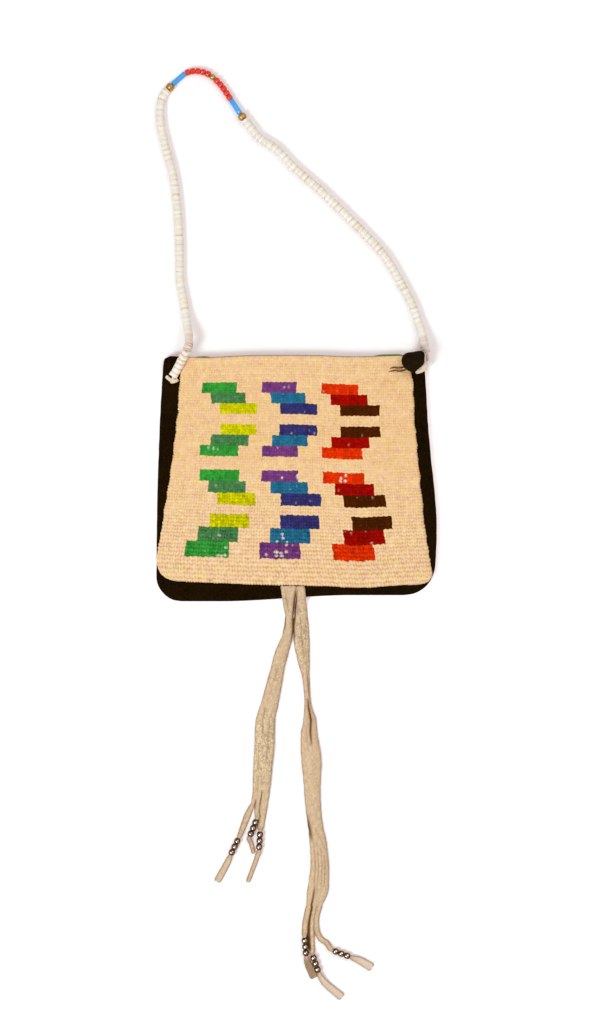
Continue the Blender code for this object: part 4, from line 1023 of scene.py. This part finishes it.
class Weave:
    """The points of the panel's front, with the same number of them in each stitch."""

    def __init__(self):
        self.generator = np.random.default_rng(7)
        self.uneven = np.random.default_rng(11)
        self.rows = WEAVE_ROWS * ROW_SAMPLES
        self.columns = WEAVE_COLUMNS * COLUMN_SAMPLES
        j, i = np.meshgrid(np.arange(self.rows + 1), np.arange(self.columns + 1), indexing="ij")
        self.row = j / ROW_SAMPLES
        self.column = i / COLUMN_SAMPLES
        self.cell_row = np.minimum(j // ROW_SAMPLES, WEAVE_ROWS - 1)
        self.cell_column = np.minimum(i // COLUMN_SAMPLES, WEAVE_COLUMNS - 1)
        self.stitch = (self.cell_row, np.minimum(2 * i // COLUMN_SAMPLES, 2 * WEAVE_COLUMNS - 1))
        self.along = self.column - self.cell_column
        self.edge_part = husk_part(self.row)

    def shaken(self, place, count, width):
        """How far each cell's points are moved, in cells, but not on the rim."""
        moves = STITCH_JITTER * self.generator.normal(0.0, width, (WEAVE_ROWS + 2, WEAVE_COLUMNS + 2))
        inside = (place > 0.5) & (place < count - 0.5)
        return np.where(inside, moves[self.cell_row, self.cell_column], 0.0), inside

    def lay(self):
        """Places the points: x and y, and their distance to the panel's rim."""
        row, column, part = self.row, self.column, self.edge_part
        move, inside = self.shaken(row, WEAVE_ROWS, 1.0)
        fall = STITCH_SLANT * (0.5 - np.abs(2 * self.along - 1)) + COLUMN_SAG * np.sin(math.pi * self.along)
        shaken_row = np.clip(row + np.where(inside, fall, 0.0) + move, 0.0, WEAVE_ROWS)

        left, right, line_y = husk_sides(part)
        wave = SIDE_WAVE * (1 - ease(part, *SIDE_WAVE_END))
        left = left + wave * smooth_field(left, line_y, SIDE_LUMP, 11.0)
        right = right + wave * smooth_field(right, line_y, SIDE_LUMP, 12.0)
        right = right - RIM_SHOWN * ease(part, RIM_START, 1.0)
        top_pull = corner_inset(part * HUSK_HEIGHT, HUSK_TOP_CORNER)
        left_pull, right_pull = (corner_inset((1 - part) * HUSK_HEIGHT, r) + top_pull for r in HUSK_CORNERS)
        ripple = self.uneven.uniform(*SIDE_RIPPLE, WEAVE_ROWS)[self.cell_row] * MM
        ripple = ripple * np.abs(np.sin(math.pi * row))
        u = column / WEAVE_COLUMNS
        u = u + COLUMN_DRIFT * part ** 4 * np.sin(math.pi * u ** 1.6)
        u = u + self.shaken(column, WEAVE_COLUMNS, JITTER_ALONG)[0] / WEAVE_COLUMNS
        x = lerp(left, right, u)
        from_left, from_right = (share(away, 0.0, CORNER_SQUEEZE) for away in (x - left, right - x))
        x = x + (left_pull - ripple) * (1 - from_left) - (right_pull - ripple) * (1 - from_right)

        hem = self.uneven.uniform(*HEM_UNEVEN, WEAVE_COLUMNS)[self.cell_column]
        hem = HEM_RIPPLE * (1 - np.abs(np.sin(2 * math.pi * column)) * hem)
        y = husk_y(x, husk_part(shaken_row)) + hem * ease(row, WEAVE_ROWS - 1.0, WEAVE_ROWS)
        depth, start, end = WEAVE_SAG
        y = y - depth * ease(x, start, end) * ease(part, 0.0, SAG_START) * (1 - ease(part, *SAG_END))
        self.x, self.y = x, y
        self.rim = np.minimum(np.minimum(x - left - left_pull, right - right_pull - x),
                              np.minimum(husk_y(x, 0.0) - y, y - husk_y(x, 1.0)))

    def swell(self, low, high):
        """Gives the points their height between low and high, and how much painted shade they get in the
        grooves.
        """
        ridge = np.sin(math.pi * (self.row - self.cell_row)) ** 0.75
        bulge = np.abs(np.sin(2 * math.pi * self.along)) ** 0.6
        each = (WEAVE_ROWS, 2 * WEAVE_COLUMNS)
        shift = self.generator.normal(0.0, 1.0, each)[self.stitch]
        rows, stitches, chance = SWELL_LOSSES
        swell = np.clip(1 - rows * (1 - ridge) - stitches * (1 - bulge) + chance * shift, 0.0, 1.0)
        growth = ease(self.edge_part, *GROOVE_SHADE_GROWTH)
        rows, corners, stitches = GROOVE_SHADE_SHARES
        # painted shade: darker between rows, more at their corners, and between stitches
        groove_shade = (1 - ridge) * (rows + corners * (1 - bulge)) + stitches * (1 - bulge)
        groove_shade = groove_shade * lerp(*GROOVE_SHADE_DEPTHS, growth)
        stitch_shade = np.exp(STITCH_SHADE_SPREAD * self.uneven.normal(0.0, 1.0, each))[self.stitch]
        patches = 0.92 + lerp(*PATCHINESS, growth) * smooth_field(self.x, self.y, PATCH_SIZE, 21.0)
        groove_shade = groove_shade * stitch_shade * np.clip(patches, *PATCH_LIMITS)
        self.groove_shade = np.clip(groove_shade * np.exp(GROOVE_SHADE_SPREAD * self.generator.normal(0.0, 1.0, groove_shade.shape)), 0.0, 1.0)
        pitch = (husk_part(self.row + 0.5) - husk_part(self.row - 0.5)) * HUSK_HEIGHT
        z = high - STITCH_RELIEF * pitch * (1 - swell)
        self.z = low + (z - low) * lerp(RIM_HEIGHT, 1.0, quarter(np.maximum(self.rim, 0.0), HUSK_EDGE))

    def rim_points(self):
        """Numbers of the points on the rim, all the way round from the top left."""
        numbers = np.arange(self.x.size).reshape(self.x.shape)
        sides = (numbers[0], numbers[1:, -1], numbers[-1, -2::-1], numbers[-2:0:-1, 0])
        return np.concatenate(sides).tolist()

    def face_colors(self):
        """Each face's colour, and whether it is dyed."""
        colors, dyes = stitch_colors(self.generator)
        face = np.ix_(np.arange(self.rows) // ROW_SAMPLES, 2 * np.arange(self.columns) // COLUMN_SAMPLES)
        dyed = dyes[face] > 0
        middle_x, middle_y = ((line[:-1, :-1] + line[1:, 1:]) / 2 for line in (self.x, self.y))
        worn_and_crinkle_light = worn_share(middle_x, middle_y) * dyed
        return colors[face] + (np.array(WORN) - colors[face]) * worn_and_crinkle_light[..., None], dyed


def make_husk(material):
    """The twined panel, a relief with a lozenge for each stitch, over a flat underside."""
    low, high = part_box("husk_panel")
    weave = Weave()
    weave.lay()
    weave.swell(low.z, high.z)
    vertices = grid_points(weave.x, weave.y, weave.z)
    faces = grid_quads(*weave.x.shape)
    front = len(faces)
    rim = weave.rim_points()
    under = [len(vertices) + k for k in range(len(rim))]
    vertices += [(*vertices[k][:2], low.z) for k in rim]
    faces += zip(rim, rim[1:] + rim[:1], under[1:] + under[:1], under)
    faces.append(tuple(under))
    item = add_mesh("husk_weave", vertices, faces, material)

    colors, dyed = weave.face_colors()
    for name, seen, elsewhere in (("stitch", colors, NATURAL), ("dyed", dyed[..., None], 0.0)):
        values = np.ones((len(faces), 3)) * elsewhere
        values[:front] = seen.reshape(front, -1)
        paint_faces(item.data, name, values)
    # painted shade of the grooves for each point, and full on the underside
    groove_shades = np.ones(len(vertices))
    groove_shades[:under[0]] = weave.groove_shade.ravel()
    paint(item.data, "groove_shade", groove_shades)
    stands_for(item, "corn_husk", "husk_panel")


# Strap

def lathe(profile, sides, low, high):
    """Points and faces of a closed ring turned round the line from low to high."""
    way = (high - low).normalized()
    across = cross_direction(way)
    up = way.cross(across)
    vertices = []
    for s in range(sides):
        turn = math.tau * s / sides
        out = across * math.cos(turn) + up * math.sin(turn)
        vertices += [tuple(low + way * along + out * radius) for along, radius in profile]
    return vertices, tube_quads(sides, len(profile), True)


def add_bead(node, start, end, shape, material, slot):
    """A turned bead in the middle of a stretch of its string. shape is length, diameter, bore and profile."""
    length, diameter, bore, profile = shape
    centre = (start + end) / 2
    way = (end - start).normalized()
    outer = [(along * length, max(part * diameter / 2, bore / 2 + BORE_WALL)) for along, part in profile]
    inner = [(length, bore / 2), (0.0, bore / 2)]
    turned = lathe(outer + inner, BEAD_SIDES, centre - way * length / 2, centre + way * length / 2)
    item = add_mesh(node + "_turned", *turned, material)
    item.data.set_sharp_from_angle(angle=BEAD_SHARP)
    # painted highlight: each point's share of it, highest on the bead's top and falling off towards its ends
    # and sides
    painted_highlight = []
    for vertex in item.data.vertices:
        away = vertex.co - centre
        along = away.dot(way) / length * 2
        up = (away - way * away.dot(way)).z / diameter * 2
        painted_highlight.append(max(up, 0.0) ** 1.3 * (1 - min(along * along, 1.0)))
    paint(item.data, "painted_highlight", painted_highlight)
    stands_for(item, slot, node)
    return item


def disc_widths(length):
    """Widths of thick and thin discs in turn that fill a length."""
    pairs = round(length / (sum(THICK_DISC) + sum(THIN_DISC)) * 2)
    widths = [RANDOM.uniform(*kind) for _ in range(pairs) for kind in (THICK_DISC, THIN_DISC)]
    return [width * length / sum(widths) for width in widths]


def disc_profile(thick, radius, chamfer):
    half = [(0.0, radius - chamfer), (chamfer * 0.3, radius - chamfer * 0.3), (chamfer, radius)]
    back = [(thick - along, height) for along, height in reversed(half)]
    return half + back + [(thick, DISC_BORE / 2), (0.0, DISC_BORE / 2)]


def disc_row(name, path, start, length, painted_shade_span, rise, node, material):
    """Shell discs side by side on their string, each a little out of line, as one piece.

    The span given before rise is the stretch of the path over which they get a painted shade; before that
    stretch they turn up by rise.
    """
    discs = Parts()
    tints = []
    place = start
    for i, width in enumerate(disc_widths(length)):
        a = path.at(place)
        b = path.at(place + width)
        place += width
        middle = place - width / 2
        on_pouch = rise and middle < painted_shade_span[0]
        tilt = Vector([RANDOM.gauss(0, DISC_TILT) for _ in range(3)])
        if on_pouch:
            tilt.z += rise * ease(middle, painted_shade_span[0] - RISE_LENGTH, painted_shade_span[0])
        way = ((b - a).normalized() + tilt).normalized()
        centre = (a + b) / 2 + way.cross(UP) * RANDOM.uniform(-DISC_STRAY, DISC_STRAY) * MM
        thick = width - DISC_GAP
        thin = i % 2
        radius = DISC_DIAMETER / 2 * RANDOM.uniform(*DISC_RADII[thin])
        profile = disc_profile(thick, radius, RANDOM.uniform(*DISC_CHAMFERS) * MM)
        turned = lathe(profile, DISC_SIDES, centre - way * thick / 2, centre + way * thick / 2)
        discs.add(*turned)
        tint = np.array(RANDOM.choice((THICK_TINTS, THIN_TINTS)[thin])) * RANDOM.uniform(*TINT_STRENGTHS)
        # painted light and shade: on the pouch the thick discs are brighter and the thin ones darker
        if on_pouch:
            tint = np.array(LIT_POUCH_TINTS[thin]) * RANDOM.uniform(*TINT_STRENGTHS)
        # painted shade on the discs in that stretch
        elif painted_shade_span[0] <= middle < painted_shade_span[1]:
            tint = tint * np.array(PAINTED_SHADE_TINT)
        tints += [tint] * len(turned[1])
    item = add_mesh(name, discs.vertices, discs.faces, material)
    item.data.set_sharp_from_angle(angle=DISC_SHARP)
    paint_faces(item.data, "tint", np.array(tints))
    stands_for(item, "shell", node)
    return item


def make_strap(materials):
    """The string with its discs and beads from knot to knot."""
    path = Path([Vector(point) * MM for point in STRAP_ROUTE])
    place = LEFT_THONG + LEFT_DISCS * DISC_PITCH
    pieces = [disc_row("discs_left", path, LEFT_THONG - LEFT_REACH, LEFT_DISCS * DISC_PITCH + LEFT_REACH,
                       LEFT_BEND, LEFT_RISE, "strand_left", materials["shell"])]
    counts = dict.fromkeys(BEADS, 0)
    low = path.at(place + BEAD_GAP / 2)
    for kind in BEAD_ORDER:
        stretch, length, diameter, profile, slot = BEADS[kind]
        place += BEAD_GAP + stretch * MM
        high = path.at(place + BEAD_GAP / 2)
        counts[kind] += 1
        shape = (length * MM, diameter * MM, BEAD_BORE, profile)
        pieces.append(add_bead(f"{kind}_{counts[kind]}", low, high, shape, materials[slot], slot))
        low = high
    place += BEAD_GAP
    discs = int((path.length - RIGHT_THONG - place) / DISC_PITCH)
    end = place + discs * DISC_PITCH
    thong = path.length - end
    end += RIGHT_REACH
    pieces.append(disc_row("discs_right", path, place, end - place, (end - RIGHT_BEND, end), 0.0,
                           "strand_right", materials["shell"]))
    radii = []
    for k in range(STRING_POINTS):
        to_end = path.length * (1 - k / (STRING_POINTS - 1))
        swell = ease(to_end, thong + 1 * MM, thong - 0.5 * MM)
        radii.append(lerp(1.0, THONG_DIAMETER / STRING_DIAMETER, swell))
    string = add_rod("string", path.even(STRING_POINTS), STRING_DIAMETER, materials["string"], radii)
    stands_for(string, "string", "strap_string")
    return string, path, pieces


def hide_strip(route, width):
    """Points and faces of a flattened strip with round edges through points in metres."""
    points = Path(route).even(STRIP_POINTS)
    vertices = []
    for k, point in enumerate(points):
        way = (points[min(k + 1, STRIP_POINTS - 1)] - points[max(k - 1, 0)]).normalized()
        if k == 0:
            across = cross_direction(way)
        across = (across - way * across.dot(way)).normalized()
        up = way.cross(across)
        t = k / (STRIP_POINTS - 1)
        swell = min(1.0, 0.62 + 4.5 * min(t, 1 - t))
        for s in range(STRIP_SIDES):
            turn = math.tau * s / STRIP_SIDES
            wide, thick = (math.copysign(abs(part) ** 0.8, part) * size / 2 * swell
                           for part, size in ((math.cos(turn), width), (math.sin(turn), STRIP_THICKNESS)))
            bump = 1 + 0.10 * noise.noise(point * 900 + Vector((0, 0, s)))
            vertices.append(tuple(point + across * wide * bump + up * thick * bump))
    ends = [tuple(reversed(range(STRIP_SIDES))), tuple(range(len(vertices) - STRIP_SIDES, len(vertices)))]
    return vertices, tube_quads(STRIP_POINTS, STRIP_SIDES, False) + ends


def make_knot(node, at, strips, material):
    """A knot as a few strips of hide that lap over each other."""
    knot = Parts()
    pale = []
    for route, width, faint in strips:
        knot.add(*hide_strip([at + Vector(point) * MM for point in route], width * MM))
        pale += [faint] * (len(knot.vertices) - len(pale))
    item = add_mesh(node + "_hide", knot.vertices, knot.faces, material)
    paint(item.data, "pale", pale)
    stands_for(item, "buckskin", node)
    return item


# Button

def button_swell(direction, lobes, pole, side):
    """The ball's radius in a direction: its lobes and flats, and the creases that run to its pole."""
    swell = 1.0
    for lobe, amount, sharpness in lobes:
        swell += amount * max(direction.dot(lobe), 0.0) ** sharpness
    turn = math.atan2(direction.dot(pole.cross(side)), direction.dot(side))
    crease = abs(math.sin(turn * CREASES / 2 + CREASE_BEND * noise.noise(direction * 1.6)))
    far, near = CREASE_DEPTHS
    swell -= (far + near * max(direction.dot(pole), 0.0) ** 2) * (1 - crease) ** 2
    return swell - sum(much * abs(noise.noise(direction * often)) for much, often in BUTTON_DENTS)


def make_button(leather, thread):
    """A ball of gathered leather with two lobes, and the ends of the thread that holds it."""
    low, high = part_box("ball_button")
    middle_y = BAG_TOP_Y - BUTTON_DROP
    centre = Vector((float(bag_side_x(1, middle_y)) - BUTTON_INSET, middle_y, (low.z + high.z) / 2))
    sizes = Vector((BUTTON_RADIUS, BUTTON_RADIUS, (high.z - low.z) / 2))
    lobes = [(Vector(way).normalized(), amount, sharpness) for way, amount, sharpness in BUTTON_LOBES]
    pole = lobes[0][0]
    side = cross_direction(pole)
    bm = bmesh.new()
    bmesh.ops.create_icosphere(bm, subdivisions=6, radius=1.0)
    for vertex in bm.verts:
        direction = vertex.co.normalized()
        swell = button_swell(direction, lobes, pole, side)
        vertex.co = direction * sizes * Vector((swell, swell, min(swell, 1.0))) + centre
    mesh = bpy.data.meshes.new("ball")
    bm.to_mesh(mesh)
    bm.free()
    mesh.shade_smooth()
    stands_for(add_piece("ball", mesh, leather), "black_leather", "ball_button")
    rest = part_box("husk_panel")[1].z + THREAD_CLEARANCE + THREAD_DIAMETER / 2
    parts = [k / (THREAD_POINTS - 1) for k in range(THREAD_POINTS)]
    for i, route in enumerate(THREADS, 1):
        points = Path([(centre.x + x * MM, centre.y + y * MM, rest) for x, y in route]).even(THREAD_POINTS)
        lifted = [p + UP * (THREAD_LIFT * math.sin(math.pi * t) ** 2) for t, p in zip(parts, points)]
        taper = [1.0 - THREAD_TAPER * ease(t, THREAD_TIP, 1.0) for t in parts]
        item = add_rod(f"thread_{i}", lifted, THREAD_DIAMETER, thread, taper)
        stands_for(item, "dark_thread", f"button_thread_{i}")


# Tails

def tail_edges(stem, root):
    """The stem's left and right edge from the husk panel to the cut, over the pouch's edge."""
    middle = (root[0] + root[1]) / 2 * MM
    edge_y = float(bag_bottom_y(middle))
    start_y = float(husk_y(middle, 1.0)) - TAIL_CLEARANCE
    on_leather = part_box("front_panel")[1].z + TAIL_CLEARANCE + HIDE_THICKNESS / 2
    over = [(start_y, on_leather)]
    over += [(edge_y + out * MM, on_leather + up * MM) for out, up in TAIL_OVER_EDGE]
    over.append((edge_y - TAIL_LANDING, HIDE_Z + LANDING_RISE))
    edges = []
    for root_x, first_x, column in zip(root, stem[0][1:], (1, 2)):
        points = []
        for y, z in over:
            t = (start_y - y) / (start_y - edge_y + stem[0][0] * MM)
            points.append((lerp(root_x, first_x, t) * MM, y, z))
        points += [(row[column] * MM, edge_y - row[0] * MM, HIDE_Z) for row in stem]
        edges.append(Path(points))
    return (*edges, edge_y)


def strand_route(first, second, strand, wide, edge_y):
    """One strand's middle points with their widths, from the stem's two points on, and the beads' ends."""
    before, beads, after, end_width = strand
    pitch = METAL_BEAD_LENGTH + METAL_BEAD_GAP

    def place(point, z):
        return Vector((point[0] * MM, edge_y - point[1] * MM, z))

    low, high = (place(point, FLOOR_CLEARANCE + METAL_BEAD_DIAMETER / 2) for point in beads)
    way = (high - low).normalized()
    centre = (low + high) / 2
    ends = [centre + way * pitch * (k - BEADS_PER_STRAND / 2) for k in range(BEADS_PER_STRAND + 1)]
    route = [((first + second) / 2, (second - first).length)]
    route += [(place(p, HIDE_Z), wide) for p in before]
    route.append((ends[0] - way * BEAD_NECK, min(wide, STRAND_AT_BEAD)))
    route += [(end, STRAND_IN_BEAD) for end in ends]
    route.append((ends[-1] + way * BEAD_NECK, STRAND_AT_BEAD))
    route += [(place(p, HIDE_Z), lerp(STRAND_WIDTH, end_width * MM, (k / len(after)) ** 0.5))
              for k, p in enumerate(after, 1)]
    return route, ends


def fold_height(down, u, width, folds):
    """Height and painted shade that the folds give a point of a stem."""
    height = 0.0
    brown = 0.0
    for start, end, from_u, to_u, wide, deep, fold_shade in folds:
        if not start < down < end:
            continue
        part = (down - start) / (end - start)
        fade = math.sin(math.pi * part) ** 0.6
        off = (u - lerp(from_u, to_u, part)) * width / (wide * MM)
        near = math.exp(-off * off)
        bank = FOLD_BANK[0] * math.exp(-(off / FOLD_BANK[1]) ** 2) if deep > 0 else 0.0
        height += deep * MM * fade * (bank - near)
        brown = max(brown, min(FOLD_SHADE * fold_shade * fade * near, 1.0))
    return height, brown


def crumple_share(down, stretches):
    return max([CRUMPLE_LEAST] + [much * math.sin(math.pi * (down - start) / (end - start)) ** 0.5
                                  for start, end, much in stretches if start < down < end])


def rim_tone(u, width):
    """How brown a tail is at its edges."""
    return RIM_TONE * math.exp(-(min(u, 1 - u) * width / RIM_WIDTH) ** 2)


class Tail(Parts):
    """A strip of hide that is cut into three strands, with metal beads on each."""

    def __init__(self, looks):
        super().__init__()
        self.looks = looks
        self.brown_and_shade = []
        self.crumple = []
        self.pale = []
        self.left, self.right, self.edge_y = tail_edges(looks["stem"], looks["root"])

    def add_point(self, point, brown_and_shade, crumple, pale=0.0):
        self.vertices.append(point)
        self.brown_and_shade.append(brown_and_shade)
        self.crumple.append(crumple)
        self.pale.append(pale)

    def add_stem(self):
        cuts = (0.0, *self.looks["slits"], 1.0)
        stations = len(self.left.points)
        for k, (a, b) in enumerate(zip(self.left.points, self.right.points)):
            t = k / (stations - 1)
            width = (b - a).length
            free = 1 - ease(t, *STEM_DRAWN)
            on_floor = ease(t, 0.0, STEM_ON_FLOOR)
            ragged = STEM_RAGGED * noise.noise(Vector((a.x * RAGS, a.y * RAGS, 3.0)))
            rise = 1.6 * abs(noise.noise(Vector((0.0, a.y * LIFTS, 9.0 + self.looks["root"][0]))))
            lift = TAIL_LIFT * on_floor * rise * free
            for c in range(STEM_POINTS):
                third = min(c // ACROSS, 2)
                u = lerp(cuts[third], cuts[third + 1], c / ACROSS - third)
                point = a.lerp(b, u)
                down = (self.edge_y - point.y) / MM
                point.x += ragged * (0.5 - u) * 2 * free
                much = crumple_share(down, self.looks["crumple"])
                arch = TAIL_ARCH * lerp(ARCH_AT_ROOT, 1.0, on_floor) * free * (1 - (2 * u - 1) ** 2) ** 0.8
                creases = abs(noise.noise(point * WRINKLES)) + 0.6 * abs(noise.noise(point * 2 * WRINKLES))
                height, brown = fold_height(down, u, width, self.looks["folds"])
                crumple = CRUMPLE_DEPTH * much * (creases - CRUMPLE_MIDDLE)
                height += lift + arch + crumple * (1 - (2 * u - 1) ** 6)
                point.z += max(height, 0.0) * ease(t, 0.0, 0.02)
                least, more, patches = RIM_PATCHES
                rim = rim_tone(u, width) * (least + more * abs(noise.noise(point * patches)))
                # painted shade of the folds, or the brown of the edges where that is darker
                self.add_point(point, max(brown, rim), much)
        self.faces += grid_quads(stations, STEM_POINTS)
        self.stem_end = (stations - 1) * STEM_POINTS

    def add_strand(self, j):
        """Adds the strand of that number from the left, and gives the ends of its beads."""
        strand = self.looks["strands"][j]
        start = self.stem_end + j * ACROSS
        route, bead_ends = strand_route(self.vertices[start], self.vertices[start + ACROSS], strand,
                                        self.looks["widths"][j] * MM, self.edge_y)
        places = [point for point, _ in route]
        middle = Path(places)
        marks = lengths_to(places)
        total = marks[-1]
        past_beads = marks[len(route) - 1 - len(strand[2])] / total
        before_beads = marks[1 + len(strand[0])] / total
        tone = self.looks["tones"][j]
        flap = self.looks["flap"] * MM if j == 1 else 0.0
        previous = [start + c for c in range(ACROSS + 1)]
        last = 1 - STRAND_ROUND / middle.length
        steps = [last * k / STRAND_STATIONS for k in range(1, STRAND_STATIONS + 1)]
        steps += [lerp(last, 1.0, k) for k in (0.30, 0.55, 0.75, 0.9, 1.0)]
        for t in steps:
            place = t * middle.length
            here = middle.at(place)
            way = (middle.at(place + 0.5 * MM) - middle.at(place - 0.5 * MM)).normalized()
            side = Vector((-way.y, way.x, 0.0)).normalized()
            width = float(np.interp(t * total, marks, [w for _, w in route]))
            to_end = (1 - t) * middle.length
            if to_end < STRAND_ROUND:
                width *= lerp(STRAND_TIP, 1.0, math.sqrt(max(1 - (1 - to_end / STRAND_ROUND) ** 2, 0.0)))
            under = flap * math.sin(math.pi * min(t / before_beads, 1.0))
            # past the beads, a tone above 0 is painted shade and one below 0 a pale tone
            tone_here = tone * ease(t, *(past_beads + after for after in TONE_CHANGE))
            line = [len(self.vertices) + c for c in range(ACROSS + 1)]
            for c in range(ACROSS + 1):
                u = c / ACROSS
                point = here + side * width * (u - 0.5)
                curl = STRAND_CURL * (2 * u - 1) ** 2 * min(1.0, width / STRAND_WIDTH)
                wave, often = STRAND_WAVES
                point.z += STRAND_REST + curl + wave * abs(noise.noise(point * often))
                brown = rim_tone(u, width)
                # the flap: the hide's underside in the slit, painted dark brown as in shade
                if under > 0.1 * MM and c < len(FLAP_TONES):
                    point -= side * under * max(1 - c / 2, 0.0)
                    point.z = HIDE_Z
                    brown = FLAP_TONES[c]
                self.add_point(point, max(brown, tone_here), STRAND_CRUMPLE, max(-tone_here, 0.0))
            self.faces += zip(previous, line, line[1:], previous[1:])
            previous = line
        return bead_ends


def make_tail(name, looks, first_bead, hide, metal):
    tail = Tail(looks)
    tail.add_stem()
    beads = []
    shape = (METAL_BEAD_LENGTH, METAL_BEAD_DIAMETER, METAL_BEAD_BORE, ROUND_PROFILE)
    for j in range(len(looks["strands"])):
        ends = tail.add_strand(j)
        for low, high in zip(ends, ends[1:]):
            node = f"metal_bead_{first_bead + len(beads)}"
            beads.append(add_bead(node, low, high, shape, metal, "bead_metal"))
    item = add_mesh(name + "_hide", [tuple(v) for v in tail.vertices], tail.faces, hide)
    for layer in ("brown_and_shade", "crumple", "pale"):
        paint(item.data, layer, getattr(tail, layer))
    add_solidify(item, HIDE_THICKNESS, 0)
    stands_for(item, "buckskin", name)


# Stage

def make_floor():
    """A pale floor that stays white to the camera and to reflections, and keeps the shadows, save beside the
    pouch, where more glow is painted light over its shadow.
    """
    material = bpy.data.materials.new("floor")
    n = Nodes(material, empty=True)
    ray = n.add("ShaderNodeLightPath").outputs
    seen = n.math("MAXIMUM", ray["Is Camera Ray"], ray["Is Glossy Ray"])
    seen = n.math("MAXIMUM", seen, ray["Is Transmission Ray"])
    seen_color, seen_glow = FLOOR_SEEN
    diffuse = n.add("ShaderNodeBsdfDiffuse", {"Color": n.mix(seen, FLOOR_COLOR, seen_color)})
    # painted light: more glow in a band along y beside the pouch, over its shadow
    more, middle, start, end = POUCH_PAINTED_LIGHT
    along = n.add("ShaderNodeSeparateXYZ", {0: n.place}).outputs["Y"]
    away = n.math("ABSOLUTE", n.math("SUBTRACT", along, middle))
    tone = n.mix(n.range(away, start, end, 1.0, 0.0), seen_glow, tuple(g + more for g in seen_glow))
    glow = n.add("ShaderNodeEmission", {"Color": tone, "Strength": 1.0})
    none = n.add("ShaderNodeEmission", {"Strength": 0.0})
    shown = n.add("ShaderNodeMixShader", {0: seen, 1: none.outputs[0], 2: glow.outputs[0]})
    both = n.add("ShaderNodeAddShader", {0: diffuse.outputs[0], 1: shown.outputs[0]})
    n.add("ShaderNodeOutputMaterial", {"Surface": both.outputs[0]})
    mesh = bpy.data.meshes.new("floor")
    corners = ((-1, -1), (1, -1), (1, 1), (-1, 1))
    mesh.from_pydata([(x * FLOOR_HALF, y * FLOOR_HALF, 0) for x, y in corners], [], [(0, 1, 2, 3)])
    mesh.materials.append(material)
    add_object("floor", mesh)


def make_world():
    world = bpy.data.worlds.new("studio")
    world.use_nodes = True
    background = world.node_tree.nodes["Background"]
    color, strength = WALLS
    background.inputs["Color"].default_value = (*color, 1.0)
    background.inputs["Strength"].default_value = strength
    bpy.context.scene.world = world


def add_lamp(name, location, size, power, color):
    lamp = bpy.data.lights.new(name, "AREA")
    lamp.shape = "SQUARE"
    lamp.size = size
    lamp.energy = power
    lamp.color = color
    item = add_object(name, lamp)
    item.location = location
    item.rotation_euler = (-Vector(location)).to_track_quat("-Z", "Y").to_euler()


def make_camera():
    camera = bpy.data.cameras.new("camera")
    camera.lens = camera.sensor_width * CAMERA_HEIGHT / PHOTO_HEIGHT
    item = add_object("camera", camera)
    item.location = (*PHOTO_CENTRE, CAMERA_HEIGHT)
    bpy.context.scene.camera = item


make_camera()
make_world()
make_floor()
add_lamp("key", *KEY)
add_lamp("fill", *FILL)

strap_materials = {
    "shell": shell_material(),
    "string": thread_material("string", (0.86, 0.76, 0.66), (0.74, 0.62, 0.50), 0.5 * MM),
    "brass": brass_material(),
    "blue_glass": glass_material("blue_glass", (0.070, 0.44, 0.98), (0.045, 0.34, 0.90)),
    "red_glass": glass_material("red_glass", (0.86, 0.040, 0.014), (0.66, 0.018, 0.006)),
}
string, strap_path, on_strap = make_strap(strap_materials)
pale_hide = thread_material("pale_hide", (0.86, 0.76, 0.60), (0.74, 0.60, 0.43), 1.6 * MM)
on_strap.append(make_knot("knot_left", Vector(STRAP_ROUTE[0]) * MM, LEFT_KNOT, pale_hide))
on_strap.append(make_knot("knot_right", Vector(STRAP_ROUTE[-1]) * MM, RIGHT_KNOT, pale_hide))

dark_leather = leather_material()
leather_panel("front_panel", 1, dark_leather)
leather_panel("back_panel", -1, dark_leather)
make_lining(lining_material())
make_husk(husk_material())
dark_thread = thread_material("dark_thread", (0.26, 0.075, 0.022), (0.10, 0.025, 0.008), 0.4 * MM)
make_button(button_material(), dark_thread)
hide_and_metal = (buckskin_material(), bead_metal_material())
make_tail("tail_left", TAIL_LEFT, 1, *hide_and_metal)
make_tail("tail_right", TAIL_RIGHT, 1 + len(TAIL_LEFT["strands"]) * BEADS_PER_STRAND, *hide_and_metal)

bpy.context.scene.view_settings.view_transform = "Standard"
